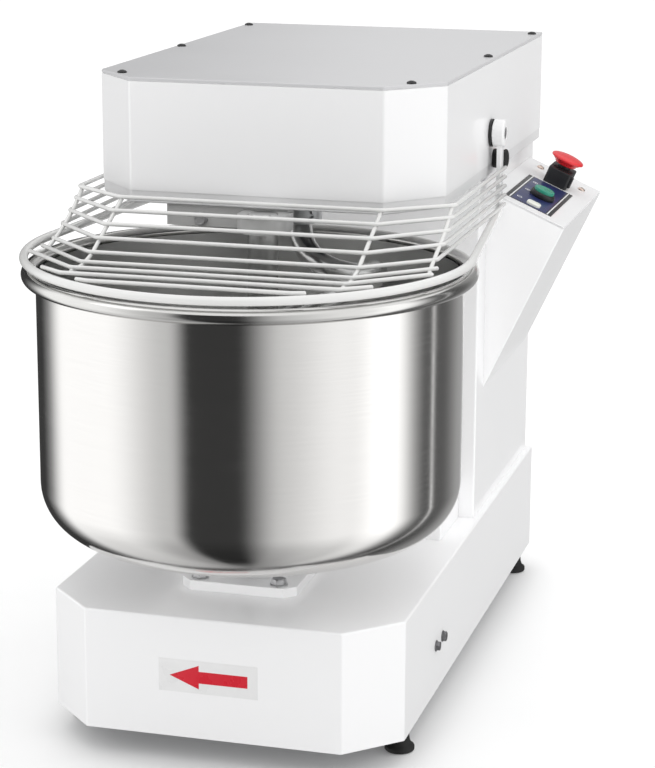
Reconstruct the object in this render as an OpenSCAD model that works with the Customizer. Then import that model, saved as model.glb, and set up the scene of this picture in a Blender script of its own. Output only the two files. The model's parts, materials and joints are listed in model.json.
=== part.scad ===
// Spiral dough mixer, bowl of the 40 litre class.
// Origin: where the bowl's axis meets the floor. +Z is up and the front of the machine faces -Y.

/* [Base] */
// Half width of the base casing
base_half_w = 193.5; // [190:0.5:200]
// Front face of the base, in front of the bowl's axis
base_front = 141; // [138:1:150]
// Rear face of the base, behind the bowl's axis
base_rear = 612; // [606:1:620]
// Underside of the base above the floor
base_z0 = 30; // [26:1:34]
// Top of the base above the floor
base_z1 = 162; // [158:1:164]
// Chamfer of the two front corners of the base
base_chamfer = 54; // [50:1:58]
// Thickness of the painted sheet steel
sheet_t = 2; // [1.5:0.5:2.5]

/* [Column] */
// Half width of the column
col_half_w = 186; // [184:1:188]
// Front face of the column
col_front = 280; // [276:1:284]
// Rear face of the column
col_rear = 600; // [598:1:602]

/* [Head] */
// Half width of the head's hood
hood_half_w = 192; // [190:1:194]
// Front face of the hood
hood_front = 15.5; // [12:0.5:17]
// Rear face of the hood
hood_rear = 617; // [615:1:622]
// Chamfer of the hood's front corners, across the machine
hood_chamfer_x = 53.5; // [50:0.5:56]
// Chamfer of the hood's front corners, along the machine
hood_chamfer_y = 60; // [56:1:64]
// Underside of the head
head_z0 = 566; // [564:1:568]
// Lower edge of the hood, above the pan's visible band
hood_z0 = 579; // [577:1:582]
// Underside of the lid
lid_z0 = 696; // [694:1:698]
// Thickness of the lid
lid_t = 3; // [2:0.5:4]

/* [Bowl] */
// Outer radius of the bowl's wall
bowl_r = 225; // [222:1:226]
// Thickness of the bowl's wall
bowl_t = 2; // [1.5:0.5:2.5]
// Outer radius of the bowl's bottom corner
bowl_corner_r = 57; // [54:1:60]
// Underside of the bowl
bowl_z0 = 223.5; // [222:0.5:225]
// Height of the middle of the rolled rim
rim_z = 504; // [502:1:506]
// Radius of the rolled rim's section
rim_r = 8; // [7:0.5:8]

/* [Tool] */
// Place of the spiral's axis, to the right of the bowl's
spiral_x = 19; // [17:0.5:21]
// Place of the spiral's axis, behind the bowl's
spiral_y = 121; // [119:0.5:122]
// Radius of the spiral's centre line
spiral_r = 83; // [80:1:84]
// Radius of the spiral's bar
spiral_bar_r = 13; // [12:0.5:13]
// Place of the breaker bar, to the right of the bowl's axis
breaker_x = 13; // [11:0.5:15]
// Place of the breaker bar, behind the bowl's axis
breaker_y = 2; // [0:0.5:4]
// Radius of the breaker bar
breaker_r = 16; // [14:1:16]

/* [Guard] */
// Height of the guard's hinge axis
pivot_z = 615; // [612:1:618]
// Place of the guard's hinge axis behind the bowl's axis
pivot_y = 303; // [301:1:305]
// Radius of the ring's tube
ring_tube_r = 4.5; // [4:0.25:4.75]
// Radius of the ring, to the middle of its tube
ring_r = 235; // [232:1:236]
// Radius of the guard's wires
wire_r = 2.2; // [2:0.1:2.4]

/* [Controls] */
// Front end of the control box
box_front = 320; // [318:1:324]
// Rear end of the control box
box_rear = 580; // [574:1:582]
// Width of the sloping panel, from the column to its outer edge
panel_w = 99; // [97:1:101]
// Slope of the panel, in degrees
panel_tilt = 23.6; // [22:0.2:25]
// Travel of the start button
start_travel = 4; // [2:0.5:4]
// Travel of the emergency stop's mushroom
stop_travel = 3.5; // [2:0.5:4]

/* [Drive] */
// Place of the upright drive shaft behind the bowl's axis
drive_y = 345; // [343:1:348]
// Belt radius of the small pulley that drives the bowl
bowl_pinion_r = 22; // [21:1:24]
// Belt radius of the bowl's own pulley
bowl_pulley_r = 121; // [119:1:123]
// Belt radius of the pulley that drives the spiral
spiral_pinion_r = 90; // [88:1:92]
// Belt radius of the spiral's own pulley
spiral_pulley_r = 49.5; // [48:0.5:52]

/* [Hidden] */
// The middle of the outline seen from above, measured from the bowl's axis. The part's origin
// lies on the floor under it, and the lengths in this file are measured from the bowl's axis.
middle_xy = [18.6, 186.75];

hood_chamfer = [hood_chamfer_x, hood_chamfer_y];
spiral_xy = [spiral_x, spiral_y];
breaker_xy = [breaker_x, breaker_y];

fit = 0.05;                 // radial clearance of every running fit
gap = 0.4;                  // clearance between faces that pass each other
eps = 0.01;
sides = [-1, 1];
white = "whitesmoke";
steel = "silver";
black = [0.08, 0.08, 0.08];

foot_xy = [for (x = sides, y = [-42, 577]) [177.5 * x, y]];
foot_r = 16;
stud_r = 5;

plate_half = [64, 56];
plate_z1 = base_z1 + 11;
plate_bolt_xy = [for (x = sides, y = sides) [44 * x, 44 * y]];
bowl_shaft_r = 20;
bowl_bearing_r = 40;
housing_r = 48;
bowl_bearing_z = [104, 146];
bowl_bearing_h = 18;
hub_z = bowl_z0 - 8;

shaft_r = 12.5;
tool_shaft_r = 15;
tool_bearing_r = 27.5;
tool_bearing_z = [562, 626];
tool_bearing_h = 13;

bowl_belt_z = 70;
spiral_belt_z = 655;
belt_w = 20;
belt_t = 4;
flange_t = 3;

panel_dx = panel_w * cos(panel_tilt);
panel_dz = panel_w * sin(panel_tilt);
panel_z = 546.5;            // inner, upper edge of the panel
box_tip_z = 311;
panel_t = 2;
label_s = [19, 78];         // across the slope
label_t = [18, 167];        // along the machine
start_st = [52, 86];
lamp_st = [52.5, 32];
stop_st = [51, 192];
stop_half = [15, 20];
stop_h = 20.5;
stop_collar = 1;
stop_cap_h = stop_h + stop_collar + stop_travel + gap;   // underside of the mushroom

arm_x = [201, 205.95];
arm_half_y = 8;
arm_z0 = 519;
boss_r = 15.5;
boss_x = [195.5, 209.5];
pin_r = 6;
stop_r = 11;
ring_mid_y = -4;            // middle of the ring's arc
ring_z = 523;               // height of the ring above the bowl's axis
ring_tilt = 0.5;            // the ring rises a little to the rear
ring_turn = 6.2;            // how far the arc runs on past the half circle before the side bars
wire_x = 208.5;             // the side wires lie on the arms' outer faces
post_x = 143.5;             // front corners of the cage
slope_wires = 5;
ring_gap = 6.5;             // from the ring's centre line in to the ends of the flat wires
// Flat wires, from the rear one on: place of the bend, and azimuth of the end inside the ring.
flat_wires = [[post_x, -120, -12.6], [post_x, -149, -20.3], [post_x, -176, -41.5], [104, -204.5, -59.3]];

// Front, side corner and height of each sloping wire, from the top one down.
function wire_front(i) = -6 - 22.6 * i;
function wire_corner(i) = 46 - 10 * i - 2.5 * i * i;
function wire_z(i) = 575 - 10.6 * i;

// Point of a flat wire at x and y, and the end of one inside the ring at the azimuth a.
function flat(x, y) = [x, y, ring_z + y * tan(ring_tilt) + ring_tube_r + 0.5];
function flat_end(a) = a > -15 ? flat(wire_x + 4, -53)
    : flat((ring_r - ring_gap) * cos(a), ring_mid_y + (ring_r - ring_gap) * sin(a));
function mirrored(q) = [-q[0], q[1], q[2]];

// ---- Shared shapes -------------------------------------------------------------------------

// Plan of a casing with two chamfered front corners, moved in by the wall w.
module casing_plan(half_w, front, rear, c, w = 0) {
    k = sqrt(1 / (c[0] * c[0]) + 1 / (c[1] * c[1]));
    side_y = front + c[1] * (1 + w * k - w / c[0]);
    front_x = half_w - c[0] * (1 + w * k - w / c[1]);
    polygon([
        [-half_w + w, side_y], [-front_x, front + w], [front_x, front + w],
        [half_w - w, side_y], [half_w - w, rear - w], [-half_w + w, rear - w]
    ]);
}

// Upright block between two corners.
module block(a, b) translate(a) cube([b[0] - a[0], b[1] - a[1], b[2] - a[2]]);

// Upright ring or disc.
module ring(r, h, z = 0, bore = 0) translate([0, 0, z]) difference() {
    cylinder(r = r, h = h, $fn = 96);
    if (bore > 0) translate([0, 0, -1]) cylinder(r = bore, h = h + 2, $fn = 96);
}

// Cylinder along +X from x0 to x1.
module bar_x(r, x0, x1) translate([x0, 0, 0]) rotate([0, 90, 0]) cylinder(r = r, h = x1 - x0, $fn = 64);

// Hex bolt head with its washer, on the plane z = 0, pointing up.
module hex_head(m) {
    cylinder(r = m * 1.05, h = m * 0.2, $fn = 48);
    translate([0, 0, m * 0.2]) cylinder(r = m * 0.92, h = m * 0.62, $fn = 6);
}

// Domed screw head on the plane z = 0, with a hexagonal socket.
module dome_head(r) difference() {
    intersection() {
        translate([0, 0, -r * 0.65]) sphere(r = r * 1.2, $fn = 48);
        cylinder(r = r, h = r, $fn = 48);
    }
    translate([0, 0, r * 0.2]) cylinder(r = r * 0.4, h = r, $fn = 6);
}

// Plan of a belt's outline round two pulleys.
module belt_plan(p, rp, q, rq) {
    d = norm(q - p);
    a = atan2(q[1] - p[1], q[0] - p[0]);
    b = acos((rp - rq) / d);
    translate(p) circle(r = rp, $fn = 128);
    translate(q) circle(r = rq, $fn = 128);
    polygon([
        for (s = [-b, b]) p + rp * [cos(a + s), sin(a + s)],
        for (s = [b, -b]) q + rq * [cos(a + s), sin(a + s)]
    ]);
}

module belt(p, rp, q, rq, z) color(black) translate([0, 0, z]) difference() {
    linear_extrude(belt_w) belt_plan(p, rp + gap + belt_t, q, rq + gap + belt_t);
    translate([0, 0, -1]) linear_extrude(belt_w + 2) belt_plan(p, rp + gap, q, rq + gap);
}

// Flanged belt pulley; the flanges stand proud of the belt.
module pulley(r, bore, hub_r) {
    lip = belt_t + 3;
    z0 = -flange_t - gap;
    h = belt_w + 2 * (flange_t + gap);
    difference() {
        ring(r + lip, h, z0, bore);
        ring(r + lip + 1, belt_w + 2 * gap, -gap, r);
        if (r > 60) for (s = [0, 1]) translate([0, 0, s ? belt_w / 2 + 4 : z0 - 1])
            difference() {
                cylinder(r = r - 10, h = belt_w / 2 + flange_t, $fn = 96);
                cylinder(r = hub_r, h = belt_w, $fn = 64);
            }
        if (r > 60) for (a = [0:60:300]) rotate(a) translate([(r - 10 + hub_r) / 2, 0, z0])
            cylinder(r = (r - 10 - hub_r) * 0.32, h = h, $fn = 48);
    }
}

// Places its children on the control panel: s across the slope, t along it, h above it.
module on_panel(s = 0, t = 0, h = 0) translate([col_half_w, box_front, panel_z])
    rotate([0, panel_tilt, 0]) translate([s, t, h]) children();

// Draws its children on the right side of the machine and mirrored on the left.
module both_sides() {
    children();
    mirror([1, 0, 0]) children();
}

function unit(v) = v / norm(v);

// Polyline with its inner corners rounded to the radius r in n steps.
function corner_arc(a, p, b, r, n) =
    let (u = unit(a - p), v = unit(b - p), half = acos(u * v) / 2)
    let (c = p + unit(u + v) * r / sin(half), e = unit(p + u * r / tan(half) - c))
    [for (i = [0:n]) let (t = (180 - 2 * half) * i / n) c + r * (cos(t) * e - sin(t) * u)];
function rounded_path(q, r, n = 4) = [
    q[0],
    for (i = [1:len(q) - 2]) each corner_arc(q[i - 1], q[i], q[i + 1], r, n),
    q[len(q) - 1]
];

// Round bar of radius r along a path, drawn with n sides; aside[i] is a direction off the path,
// and size[i] narrows the bar towards its ends.
module sweep(path, aside, r, n, size) {
    last = len(path) - 1;
    rings = [for (i = [0:last])
        let (t = unit(path[min(i + 1, last)] - path[max(i - 1, 0)]))
        let (u = unit(cross(t, aside[i])), v = cross(t, u))
        [for (k = [0:n - 1]) path[i] + r * size[i] * (cos(360 * k / n) * u + sin(360 * k / n) * v)]];
    walls = [for (i = [0:last - 1], k = [0:n - 1])
        let (a = i * n + k, b = i * n + (k + 1) % n) each [[a, b + n, b], [a, a + n, b + n]]];
    start = [for (k = [0:n - 1]) k];
    end = [for (k = [n - 1:-1:0]) last * n + k];
    polyhedron(points = [for (q = rings) each q], faces = concat(walls, [start, end]), convexity = 8);
}

// Bar along a path that never runs upright.
module level_sweep(path, r, n) sweep(path, [for (q = path) [0, 0, 1]], r, n, [for (q = path) 1]);

// Short straight wire with rounded ends.
module short_wire(a, b) hull() for (q = [a, b]) translate(q) sphere(r = wire_r, $fn = 14);

// ---- Base ----------------------------------------------------------------------------------

module base_plan(w = 0) casing_plan(base_half_w, -base_front, base_rear, [base_chamfer, base_chamfer], w);

module base_shell() color(white) difference() {
    translate([0, 0, base_z0]) linear_extrude(base_z1 - base_z0) base_plan();
    translate([0, 0, base_z0 - 1]) linear_extrude(base_z1 - base_z0 + 1 - sheet_t) base_plan(sheet_t);
    // hole for the bowl's bearing housing, and the column's opening
    translate([0, 0, base_z1 - 10]) cylinder(r = housing_r + 2, h = 20, $fn = 96);
    block([-110, 300, base_z1 - 10], [110, 580, base_z1 + 10]);
    for (p = plate_bolt_xy) translate([p[0], p[1], base_z1 - 10]) cylinder(r = 4.5, h = 20, $fn = 32);
    for (y = [56, 88]) translate([base_half_w - 10, y, 84]) rotate([0, 90, 0])
        cylinder(r = 4.2, h = 20, $fn = 32);
}

module base_floor() color(steel) difference() {
    translate([0, 0, base_z0]) linear_extrude(3) base_plan(sheet_t + 0.3);
    for (p = foot_xy) translate([p[0], p[1], 0]) cylinder(r = stud_r + fit, h = 100, $fn = 48);
    // drain and air holes
    for (y = [120:60:480], x = [-80, 0, 80]) translate([x, y, 0]) cylinder(r = 8, h = 100, $fn = 48);
}

// Two box rails and two cross rails under the top sheet, welded together.
module base_chassis() color("dimgray") difference() {
    union() {
        for (s = sides) block([165 * s - 18, -55, 100], [165 * s + 18, 598, base_z1 - sheet_t]);
        block([-165, -88, 118], [165, -56, base_z1 - sheet_t]);
        block([-165, 585, 100], [165, 598, base_z1 - sheet_t]);
        for (s = sides) block([165 * s - 18, -88, 118], [165 * s + 18, -55, base_z1 - sheet_t]);
    }
    for (s = sides) block([165 * s - 15, -54, 103], [165 * s + 15, 599, base_z1 - sheet_t - 3]);
}

module feet() color(black) for (p = foot_xy) translate([p[0], p[1], 0]) difference() {
    rotate_extrude($fn = 96) polygon([
        [0, 0], [foot_r - 1.5, 0], [foot_r, 1.5], [foot_r, 6], [foot_r - 5, 12],
        [foot_r - 6, base_z0 - 6], [foot_r - 4, base_z0 - 4], [foot_r - 4, base_z0], [0, base_z0]
    ]);
    translate([0, 0, 8]) cylinder(r = stud_r, h = base_z0, $fn = 48);
}

// Threaded studs of the feet, each with a nut and a washer on the floor plate.
module foot_studs() color(steel) for (p = foot_xy) translate([p[0], p[1], 0]) {
    translate([0, 0, 8]) cylinder(r = stud_r, h = base_z0 + 12, $fn = 48);
    translate([0, 0, base_z0 + 3]) difference() {
        union() {
            cylinder(r = 11, h = 2, $fn = 48);
            translate([0, 0, 2]) cylinder(r = 9.2, h = 8, $fn = 6);
        }
        translate([0, 0, -1]) cylinder(r = stud_r - 0.5, h = 20, $fn = 48);
    }
}

module bearing_plate() color(white) difference() {
    translate([0, 0, base_z1]) linear_extrude(plate_z1 - base_z1) polygon([
        for (q = [[-1, -1], [1, -1], [1, 1], [-1, 1]], k = q[0] * q[1] > 0 ? [0, 1] : [1, 0])
            [q[0] * (plate_half[0] - 12 * k), q[1] * (plate_half[1] - 12 * (1 - k))]
    ]);
    translate([0, 0, base_z1 - 1]) cylinder(r = housing_r - 6, h = 30, $fn = 96);
    for (p = plate_bolt_xy) translate([p[0], p[1], base_z1 - 1]) cylinder(r = 4.5, h = 30, $fn = 32);
}

module bearing_plate_bolts() color(steel) for (p = plate_bolt_xy) translate([p[0], p[1], plate_z1]) {
    hex_head(9);
    translate([0, 0, -30]) cylinder(r = 4, h = 30, $fn = 32);
}

// Barrel that hangs under the bearing plate and holds the bowl's two bearings.
module bowl_bearing_housing() color("gray") difference() {
    union() {
        ring(housing_r, base_z1 - 96, 96);
        // ears for the bolts that come down through the plate
        intersection() {
            ring(70, 12, base_z1 - sheet_t - 12.1);
            block([-60, -54, 0], [60, 54, base_z1]);
        }
    }
    translate([0, 0, 90]) cylinder(r = bowl_shaft_r + 8, h = 100, $fn = 96);
    for (z = bowl_bearing_z) translate([0, 0, z - eps])
        cylinder(r = bowl_bearing_r, h = bowl_bearing_h + 2 * eps, $fn = 96);
    translate([0, 0, 90]) cylinder(r = bowl_bearing_r, h = 14, $fn = 96);
    for (p = plate_bolt_xy) translate([p[0], p[1], 100]) cylinder(r = 4 + fit, h = 100, $fn = 32);
}

module bowl_bearings() color("lightgray") for (z = bowl_bearing_z)
    bearing(bowl_bearing_r - 0.02, bowl_shaft_r + fit, bowl_bearing_h - 0.1, z + 0.05);

// Ball bearing drawn closed: two races and the seals between them, a little lower.
module bearing(r, bore, h, z) translate([0, 0, z]) difference() {
    cylinder(r = r, h = h, $fn = 96);
    translate([0, 0, -1]) cylinder(r = bore, h = h + 2, $fn = 96);
    for (k = [-1, h - 0.8]) translate([0, 0, k]) difference() {
        cylinder(r = r - (r - bore) * 0.25, h = 1.8, $fn = 96);
        translate([0, 0, -1]) cylinder(r = bore + (r - bore) * 0.25, h = 4, $fn = 96);
    }
}

// Cover of the drive, a step in front of the column and under the bowl.
module drive_step() color(white) difference() {
    block([-168, 186, base_z1], [168, col_front, 212]);
    block([-166, 188, base_z1 - 1], [166, col_front + 1, 210]);
}

// Red arrow that shows which way the bowl turns, on a pale plate.
module direction_arrow() translate([0, -base_front, 98]) rotate([90, 0, 0]) {
    color("white") linear_extrude(0.25) square([112, 38], center = true);
    color("crimson") translate([0, 0, 0.25 - eps]) linear_extrude(0.25)
        polygon([[-46, 0], [-14, 13], [-14, 6.5], [39, 6.5], [39, -6.5], [-14, -6.5], [-14, -13]]);
}

// ---- Column --------------------------------------------------------------------------------

module column_shell() color(white) difference() {
    block([-col_half_w, col_front, base_z1], [col_half_w, col_rear - sheet_t, head_z0]);
    block([-col_half_w + sheet_t, col_front + sheet_t, base_z1 - 1],
        [col_half_w - sheet_t, col_rear, head_z0 + 1]);
    // passage for the wires of the control box
    block([col_half_w - 10, 400, 440], [col_half_w + 10, 500, 500]);
    // opening behind the drive step
    block([-110, col_front - 5, base_z1 - 5], [110, col_front + 10, 205]);
}

// Two uprights and the shelf that carries the gear unit.
module column_frame() color("dimgray") difference() {
    union() {
        for (s = sides) difference() {
            block([150 * s - 20, 400, base_z1], [150 * s + 20, 460, head_z0]);
            block([150 * s - 17, 403, base_z1 - 1], [150 * s + 17, 457, head_z0 + 1]);
        }
        block([-130, 310, 522], [130, 560, 532]);
        for (s = sides) block([150 * s - 20, 310, 522], [150 * s + 20, 400, 532]);
    }
    translate([0, drive_y, 500]) cylinder(r = shaft_r + 6, h = 50, $fn = 64);
    for (p = gear_bolt_xy) translate([p[0], p[1], 500]) cylinder(r = 5.3, h = 50, $fn = 32);
}

gear_bolt_xy = [for (x = sides, y = [-55, 115]) [60 * x, drive_y + 30 + y]];

module gearbox() color("steelblue") difference() {
    union() {
        block([-78, drive_y - 42, 440], [78, drive_y + 165, 508]);
        block([-70, drive_y - 34, 508], [70, drive_y + 157, 522]);
        translate([0, drive_y, 0]) ring(36, 12, 428);
        for (x = [-52, 0, 52]) block([x - 3, drive_y + 10, 432], [x + 3, drive_y + 34, 440]);
        for (s = sides, y = [-30:39:165])
            block([79 * s - 3, drive_y + y, 446], [79 * s + 3, drive_y + y + 6, 502]);
    }
    translate([0, drive_y, 400]) cylinder(r = shaft_r + fit, h = 200, $fn = 64);
    for (p = gear_bolt_xy) translate([p[0], p[1], 500]) cylinder(r = 5, h = 50, $fn = 32);
}

module gearbox_bolts() color(steel) for (p = gear_bolt_xy) translate([p[0], p[1], 532]) {
    hex_head(9);
    translate([0, 0, -30]) cylinder(r = 4.95, h = 30, $fn = 32);
}

motor_xy = [0, 463];

module motor_body() color("steelblue") translate([motor_xy[0], motor_xy[1], 0]) difference() {
    union() {
        ring(80, 12, 428);
        ring(62, 188, 240);
        for (a = [0:15:345]) rotate(a) block([60, -1.25, 250], [74, 1.25, 420]);
    }
    // flat for the terminal box
    block([-80, -60, 300], [-60, 60, 372]);
}

module motor_fan_cover() color(black) translate([motor_xy[0], motor_xy[1], 0]) difference() {
    ring(72, 58, 182);
    ring(70, 60, 185, 0);
    for (a = [0:30:330]) rotate(a) block([18, -4, 180], [58, 4, 190]);
    translate([0, 0, 180]) cylinder(r = 10, h = 10, $fn = 48);
}

module motor_terminal_box() color("gray") translate([-97, motor_xy[1], 336]) difference() {
    block([-33, -45, -34], [36.9, 45, 34]);
    translate([0, 0, -40]) cylinder(r = 8, h = 12, $fn = 48);
}

// Pressed air slots and the screws' holes in the back panel.
module rear_cover() color(white) difference() {
    block([-col_half_w, col_rear - sheet_t, base_z1], [col_half_w, col_rear, head_z0]);
    for (z = [230:16:358], s = sides) translate([70 * s, col_rear, z]) rotate([90, 0, 0])
        translate([0, 0, -1]) linear_extrude(10) {
            square([84, 5], center = true);
            for (e = sides) translate([42 * e, 0]) circle(r = 2.5, $fn = 32);
        }
    for (x = sides, z = rear_screw_z) translate([x * 172, col_rear, z]) rotate([90, 0, 0])
        translate([0, 0, -1]) cylinder(r = 2.6, h = 10, $fn = 32);
    translate([-120, col_rear, 200]) rotate([90, 0, 0]) translate([0, 0, -1])
        cylinder(r = 10, h = 10, $fn = 48);
}

rear_screw_z = [base_z1 + 22, 364, head_z0 - 22];

module rear_cover_screws() color(steel) for (x = sides, z = rear_screw_z)
    translate([x * 172, col_rear, z]) rotate([-90, 0, 0]) {
        dome_head(5);
        translate([0, 0, -10]) cylinder(r = 2.5, h = 10.2, $fn = 32);
    }

module cable_gland() color(black) translate([-120, col_rear - sheet_t, 200]) rotate([-90, 0, 0])
    difference() {
    union() {
        translate([0, 0, -6]) cylinder(r = 9.9, h = 10, $fn = 48);
        translate([0, 0, -7]) cylinder(r = 14, h = 7, $fn = 6);
        translate([0, 0, sheet_t]) cylinder(r = 14, h = 6, $fn = 6);
        translate([0, 0, sheet_t + 6]) cylinder(r = 11.5, h = 2, $fn = 48);
    }
    translate([0, 0, -10]) cylinder(r = 5, h = 30, $fn = 48);
}

// ---- Head ----------------------------------------------------------------------------------

module hood_plan(w = 0) casing_plan(hood_half_w, hood_front, hood_rear, hood_chamfer, w);

// Tray that closes the head from below; its lower band shows under the hood.
module head_pan() color(white) difference() {
    union() {
        translate([0, 0, head_z0]) linear_extrude(hood_z0 - head_z0) hood_plan(0.8);
        translate([0, 0, hood_z0 - eps]) linear_extrude(14) hood_plan(sheet_t + 0.4);
    }
    translate([0, 0, head_z0 + 3]) linear_extrude(60) hood_plan(sheet_t + 2.4);
    translate([spiral_xy[0], spiral_xy[1], 500]) cylinder(r = 46, h = 100, $fn = 96);
    translate([0, drive_y, 500]) cylinder(r = 30, h = 100, $fn = 64);
    // openings over the uprights and for the wiring
    block([-120, 470, 500], [120, 570, 600]);
    for (p = bracket_bolt_xy) translate([p[0], p[1], 500]) cylinder(r = 4 + fit, h = 100, $fn = 32);
}

bracket_bolt_xy = [for (x = [-70, 14]) [x, 33]];

// Thick steel plate in the head that ties the column to the spiral's bearings.
module head_plate() color("dimgray") difference() {
    block([-150, 24, head_z0 + 3], [150, 585, head_z0 + 13]);
    for (s = sides) translate([150 * s, 24, 0]) rotate(45 * s) block([-32, -60, 500], [32, 60, 620]);
    translate([spiral_xy[0], spiral_xy[1], 500]) cylinder(r = 40, h = 100, $fn = 96);
    translate([0, drive_y, 500]) cylinder(r = 30, h = 100, $fn = 64);
    block([-100, 480, 500], [100, 560, 600]);
    for (p = bracket_bolt_xy) translate([p[0], p[1], 500]) cylinder(r = 4 + fit, h = 100, $fn = 32);
}

module hood_shell() color(white) difference() {
    union() {
        translate([0, 0, hood_z0]) linear_extrude(lid_z0 - 1 - hood_z0) hood_plan();
        translate([0, 0, lid_z0 - 1 - eps]) linear_extrude(1 + eps) hood_plan(1.2);
    }
    translate([0, 0, hood_z0 - 1]) linear_extrude(lid_z0 - 3 - hood_z0 + 1) hood_plan(sheet_t);
    translate([0, 0, hood_z0 - 1]) linear_extrude(200) hood_plan(22);
    for (p = lid_screw_xy) translate([p[0], p[1], lid_z0 - 20]) cylinder(r = 2.6, h = 40, $fn = 32);
    translate([-250, pivot_y, pivot_z]) bar_x(pin_r + 3, 0, 500);
}

lid_screw_xy = [for (s = sides) each [[159 * s, 51], [184 * s, 319], [184 * s, 584]]];

module hood_lid() color([0.86, 0.87, 0.88]) difference() {
    translate([0, 0, lid_z0]) linear_extrude(lid_t) hood_plan();
    for (p = lid_screw_xy) translate([p[0], p[1], lid_z0 - 20]) cylinder(r = 2.6, h = 40, $fn = 32);
}

module lid_screws() color(black) for (p = lid_screw_xy) translate([p[0], p[1], lid_z0 + lid_t]) {
    dome_head(5.2);
    translate([0, 0, -12]) cylinder(r = 2.5, h = 12.2, $fn = 32);
}

module spiral_bearing_housing() color("gray") translate([spiral_xy[0], spiral_xy[1], 0]) difference() {
    union() {
        ring(39.9, 92, 554);
        ring(62, 12, head_z0 + 13);
        for (a = [0:60:300]) rotate(a) translate([52, 0, head_z0 + 25]) cylinder(r = 7, h = 6, $fn = 6);
    }
    translate([0, 0, 500]) cylinder(r = tool_shaft_r + 5, h = 200, $fn = 96);
    for (z = tool_bearing_z) translate([0, 0, z - eps])
        cylinder(r = tool_bearing_r, h = tool_bearing_h + 2 * eps, $fn = 96);
    translate([0, 0, 626]) cylinder(r = tool_bearing_r, h = 40, $fn = 96);
    translate([0, 0, 550]) cylinder(r = tool_bearing_r, h = 20, $fn = 96);
}

module spiral_bearings() color("lightgray") translate([spiral_xy[0], spiral_xy[1], 0])
    for (z = tool_bearing_z)
    bearing(tool_bearing_r - 0.02, tool_shaft_r + fit, tool_bearing_h - 0.1, z + 0.05);

module spiral_belt() belt(spiral_xy, spiral_pulley_r, [0, drive_y], spiral_pinion_r, spiral_belt_z);
module bowl_belt() belt([0, 0], bowl_pulley_r, [0, drive_y], bowl_pinion_r, bowl_belt_z);

// Cross bar bolted up under the head, with the lug that holds the breaker bar.
module breaker_bracket() color(white) difference() {
    union() {
        block([-100, 22, 543], [34, 44, head_z0]);
        block([-14, 2, 545], [40, 23, 563]);
        translate([breaker_xy[0], breaker_xy[1], 545]) cylinder(r = 27, h = 18, $fn = 96);
    }
    translate([breaker_xy[0], breaker_xy[1], 500]) cylinder(r = breaker_r, h = 100, $fn = 96);
    for (p = bracket_bolt_xy) translate([p[0], p[1], 500]) cylinder(r = 4, h = 100, $fn = 32);
    translate([-62, 10, 550.5]) rotate([-90, 0, 0]) cylinder(r = 4, h = 24, $fn = 32);
}

// Equal hex bolts with washers: three of the breaker's bracket, two in the base's right side.
module frame_bolts() color(steel) {
    for (p = bracket_bolt_xy) translate([p[0], p[1], head_z0 + 13]) frame_bolt(30);
    translate([-62, 22, 550.5]) rotate([90, 0, 0]) frame_bolt(11);
    for (y = [56, 88]) translate([base_half_w, y, 84]) rotate([0, 90, 0]) frame_bolt(14);
}

module frame_bolt(l) {
    hex_head(7);
    translate([0, 0, -l]) cylinder(r = 3.95, h = l, $fn = 32);
}

module breaker_bar() color(steel) translate([breaker_xy[0], breaker_xy[1], 0]) {
    translate([0, 0, 252]) cylinder(r = breaker_r - 0.02, h = 312, $fn = 96);
    translate([0, 0, 252]) sphere(r = breaker_r - 0.02, $fn = 96);
}

// ---- Guard ---------------------------------------------------------------------------------

// Plain bush in each side of the hood; its black collar keeps the arm off the hood.
module guard_bushes() color(black) both_sides() translate([0, pivot_y, pivot_z]) difference() {
    union() {
        bar_x(pin_r + 2.95, hood_half_w - 12, hood_half_w + 1);
        bar_x(boss_r + 0.3, hood_half_w, boss_x[0] - gap);
        bar_x(pin_r + 7, hood_half_w - 12, hood_half_w - sheet_t - 0.2);
    }
    bar_x(pin_r + fit, 100, 250);
}

// Rubber stops behind the arms.
module guard_stops() color(black) both_sides()
    translate([0, pivot_y + arm_half_y + gap + stop_r, 583]) {
        bar_x(stop_r, hood_half_w, 207);
        bar_x(stop_r - 2, 206, 208.5);
    }

module guard_switch() color("goldenrod") difference() {
    union() {
        block([150, pivot_y + 18, 590], [182, pivot_y + 52, 640]);
        block([160, pivot_y + 14, 608], [172, pivot_y + 19, 622]);
    }
    for (z = [598, 632]) translate([140, pivot_y + 35, z]) rotate([0, 90, 0])
        cylinder(r = 2.2, h = 60, $fn = 32);
}

module guard_ring() color(white) {
    end_y = pivot_y - arm_half_y - ring_tube_r * sin(ring_turn) - 0.3;
    tangent_x = ring_r * cos(ring_turn);
    tangent_y = ring_r * sin(ring_turn) + ring_mid_y;
    end_x = tangent_x - (end_y - tangent_y) * tan(ring_turn);
    path = [
        [-end_x, end_y, 0],
        for (i = [0:60]) let (a = -180 - ring_turn + (180 + 2 * ring_turn) * i / 60)
            [ring_r * cos(a), ring_r * sin(a) + ring_mid_y, 0],
        [end_x, end_y, 0]
    ];
    translate([0, 0, ring_z]) rotate([ring_tilt, 0, 0]) level_sweep(path, ring_tube_r, 24);
}

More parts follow.
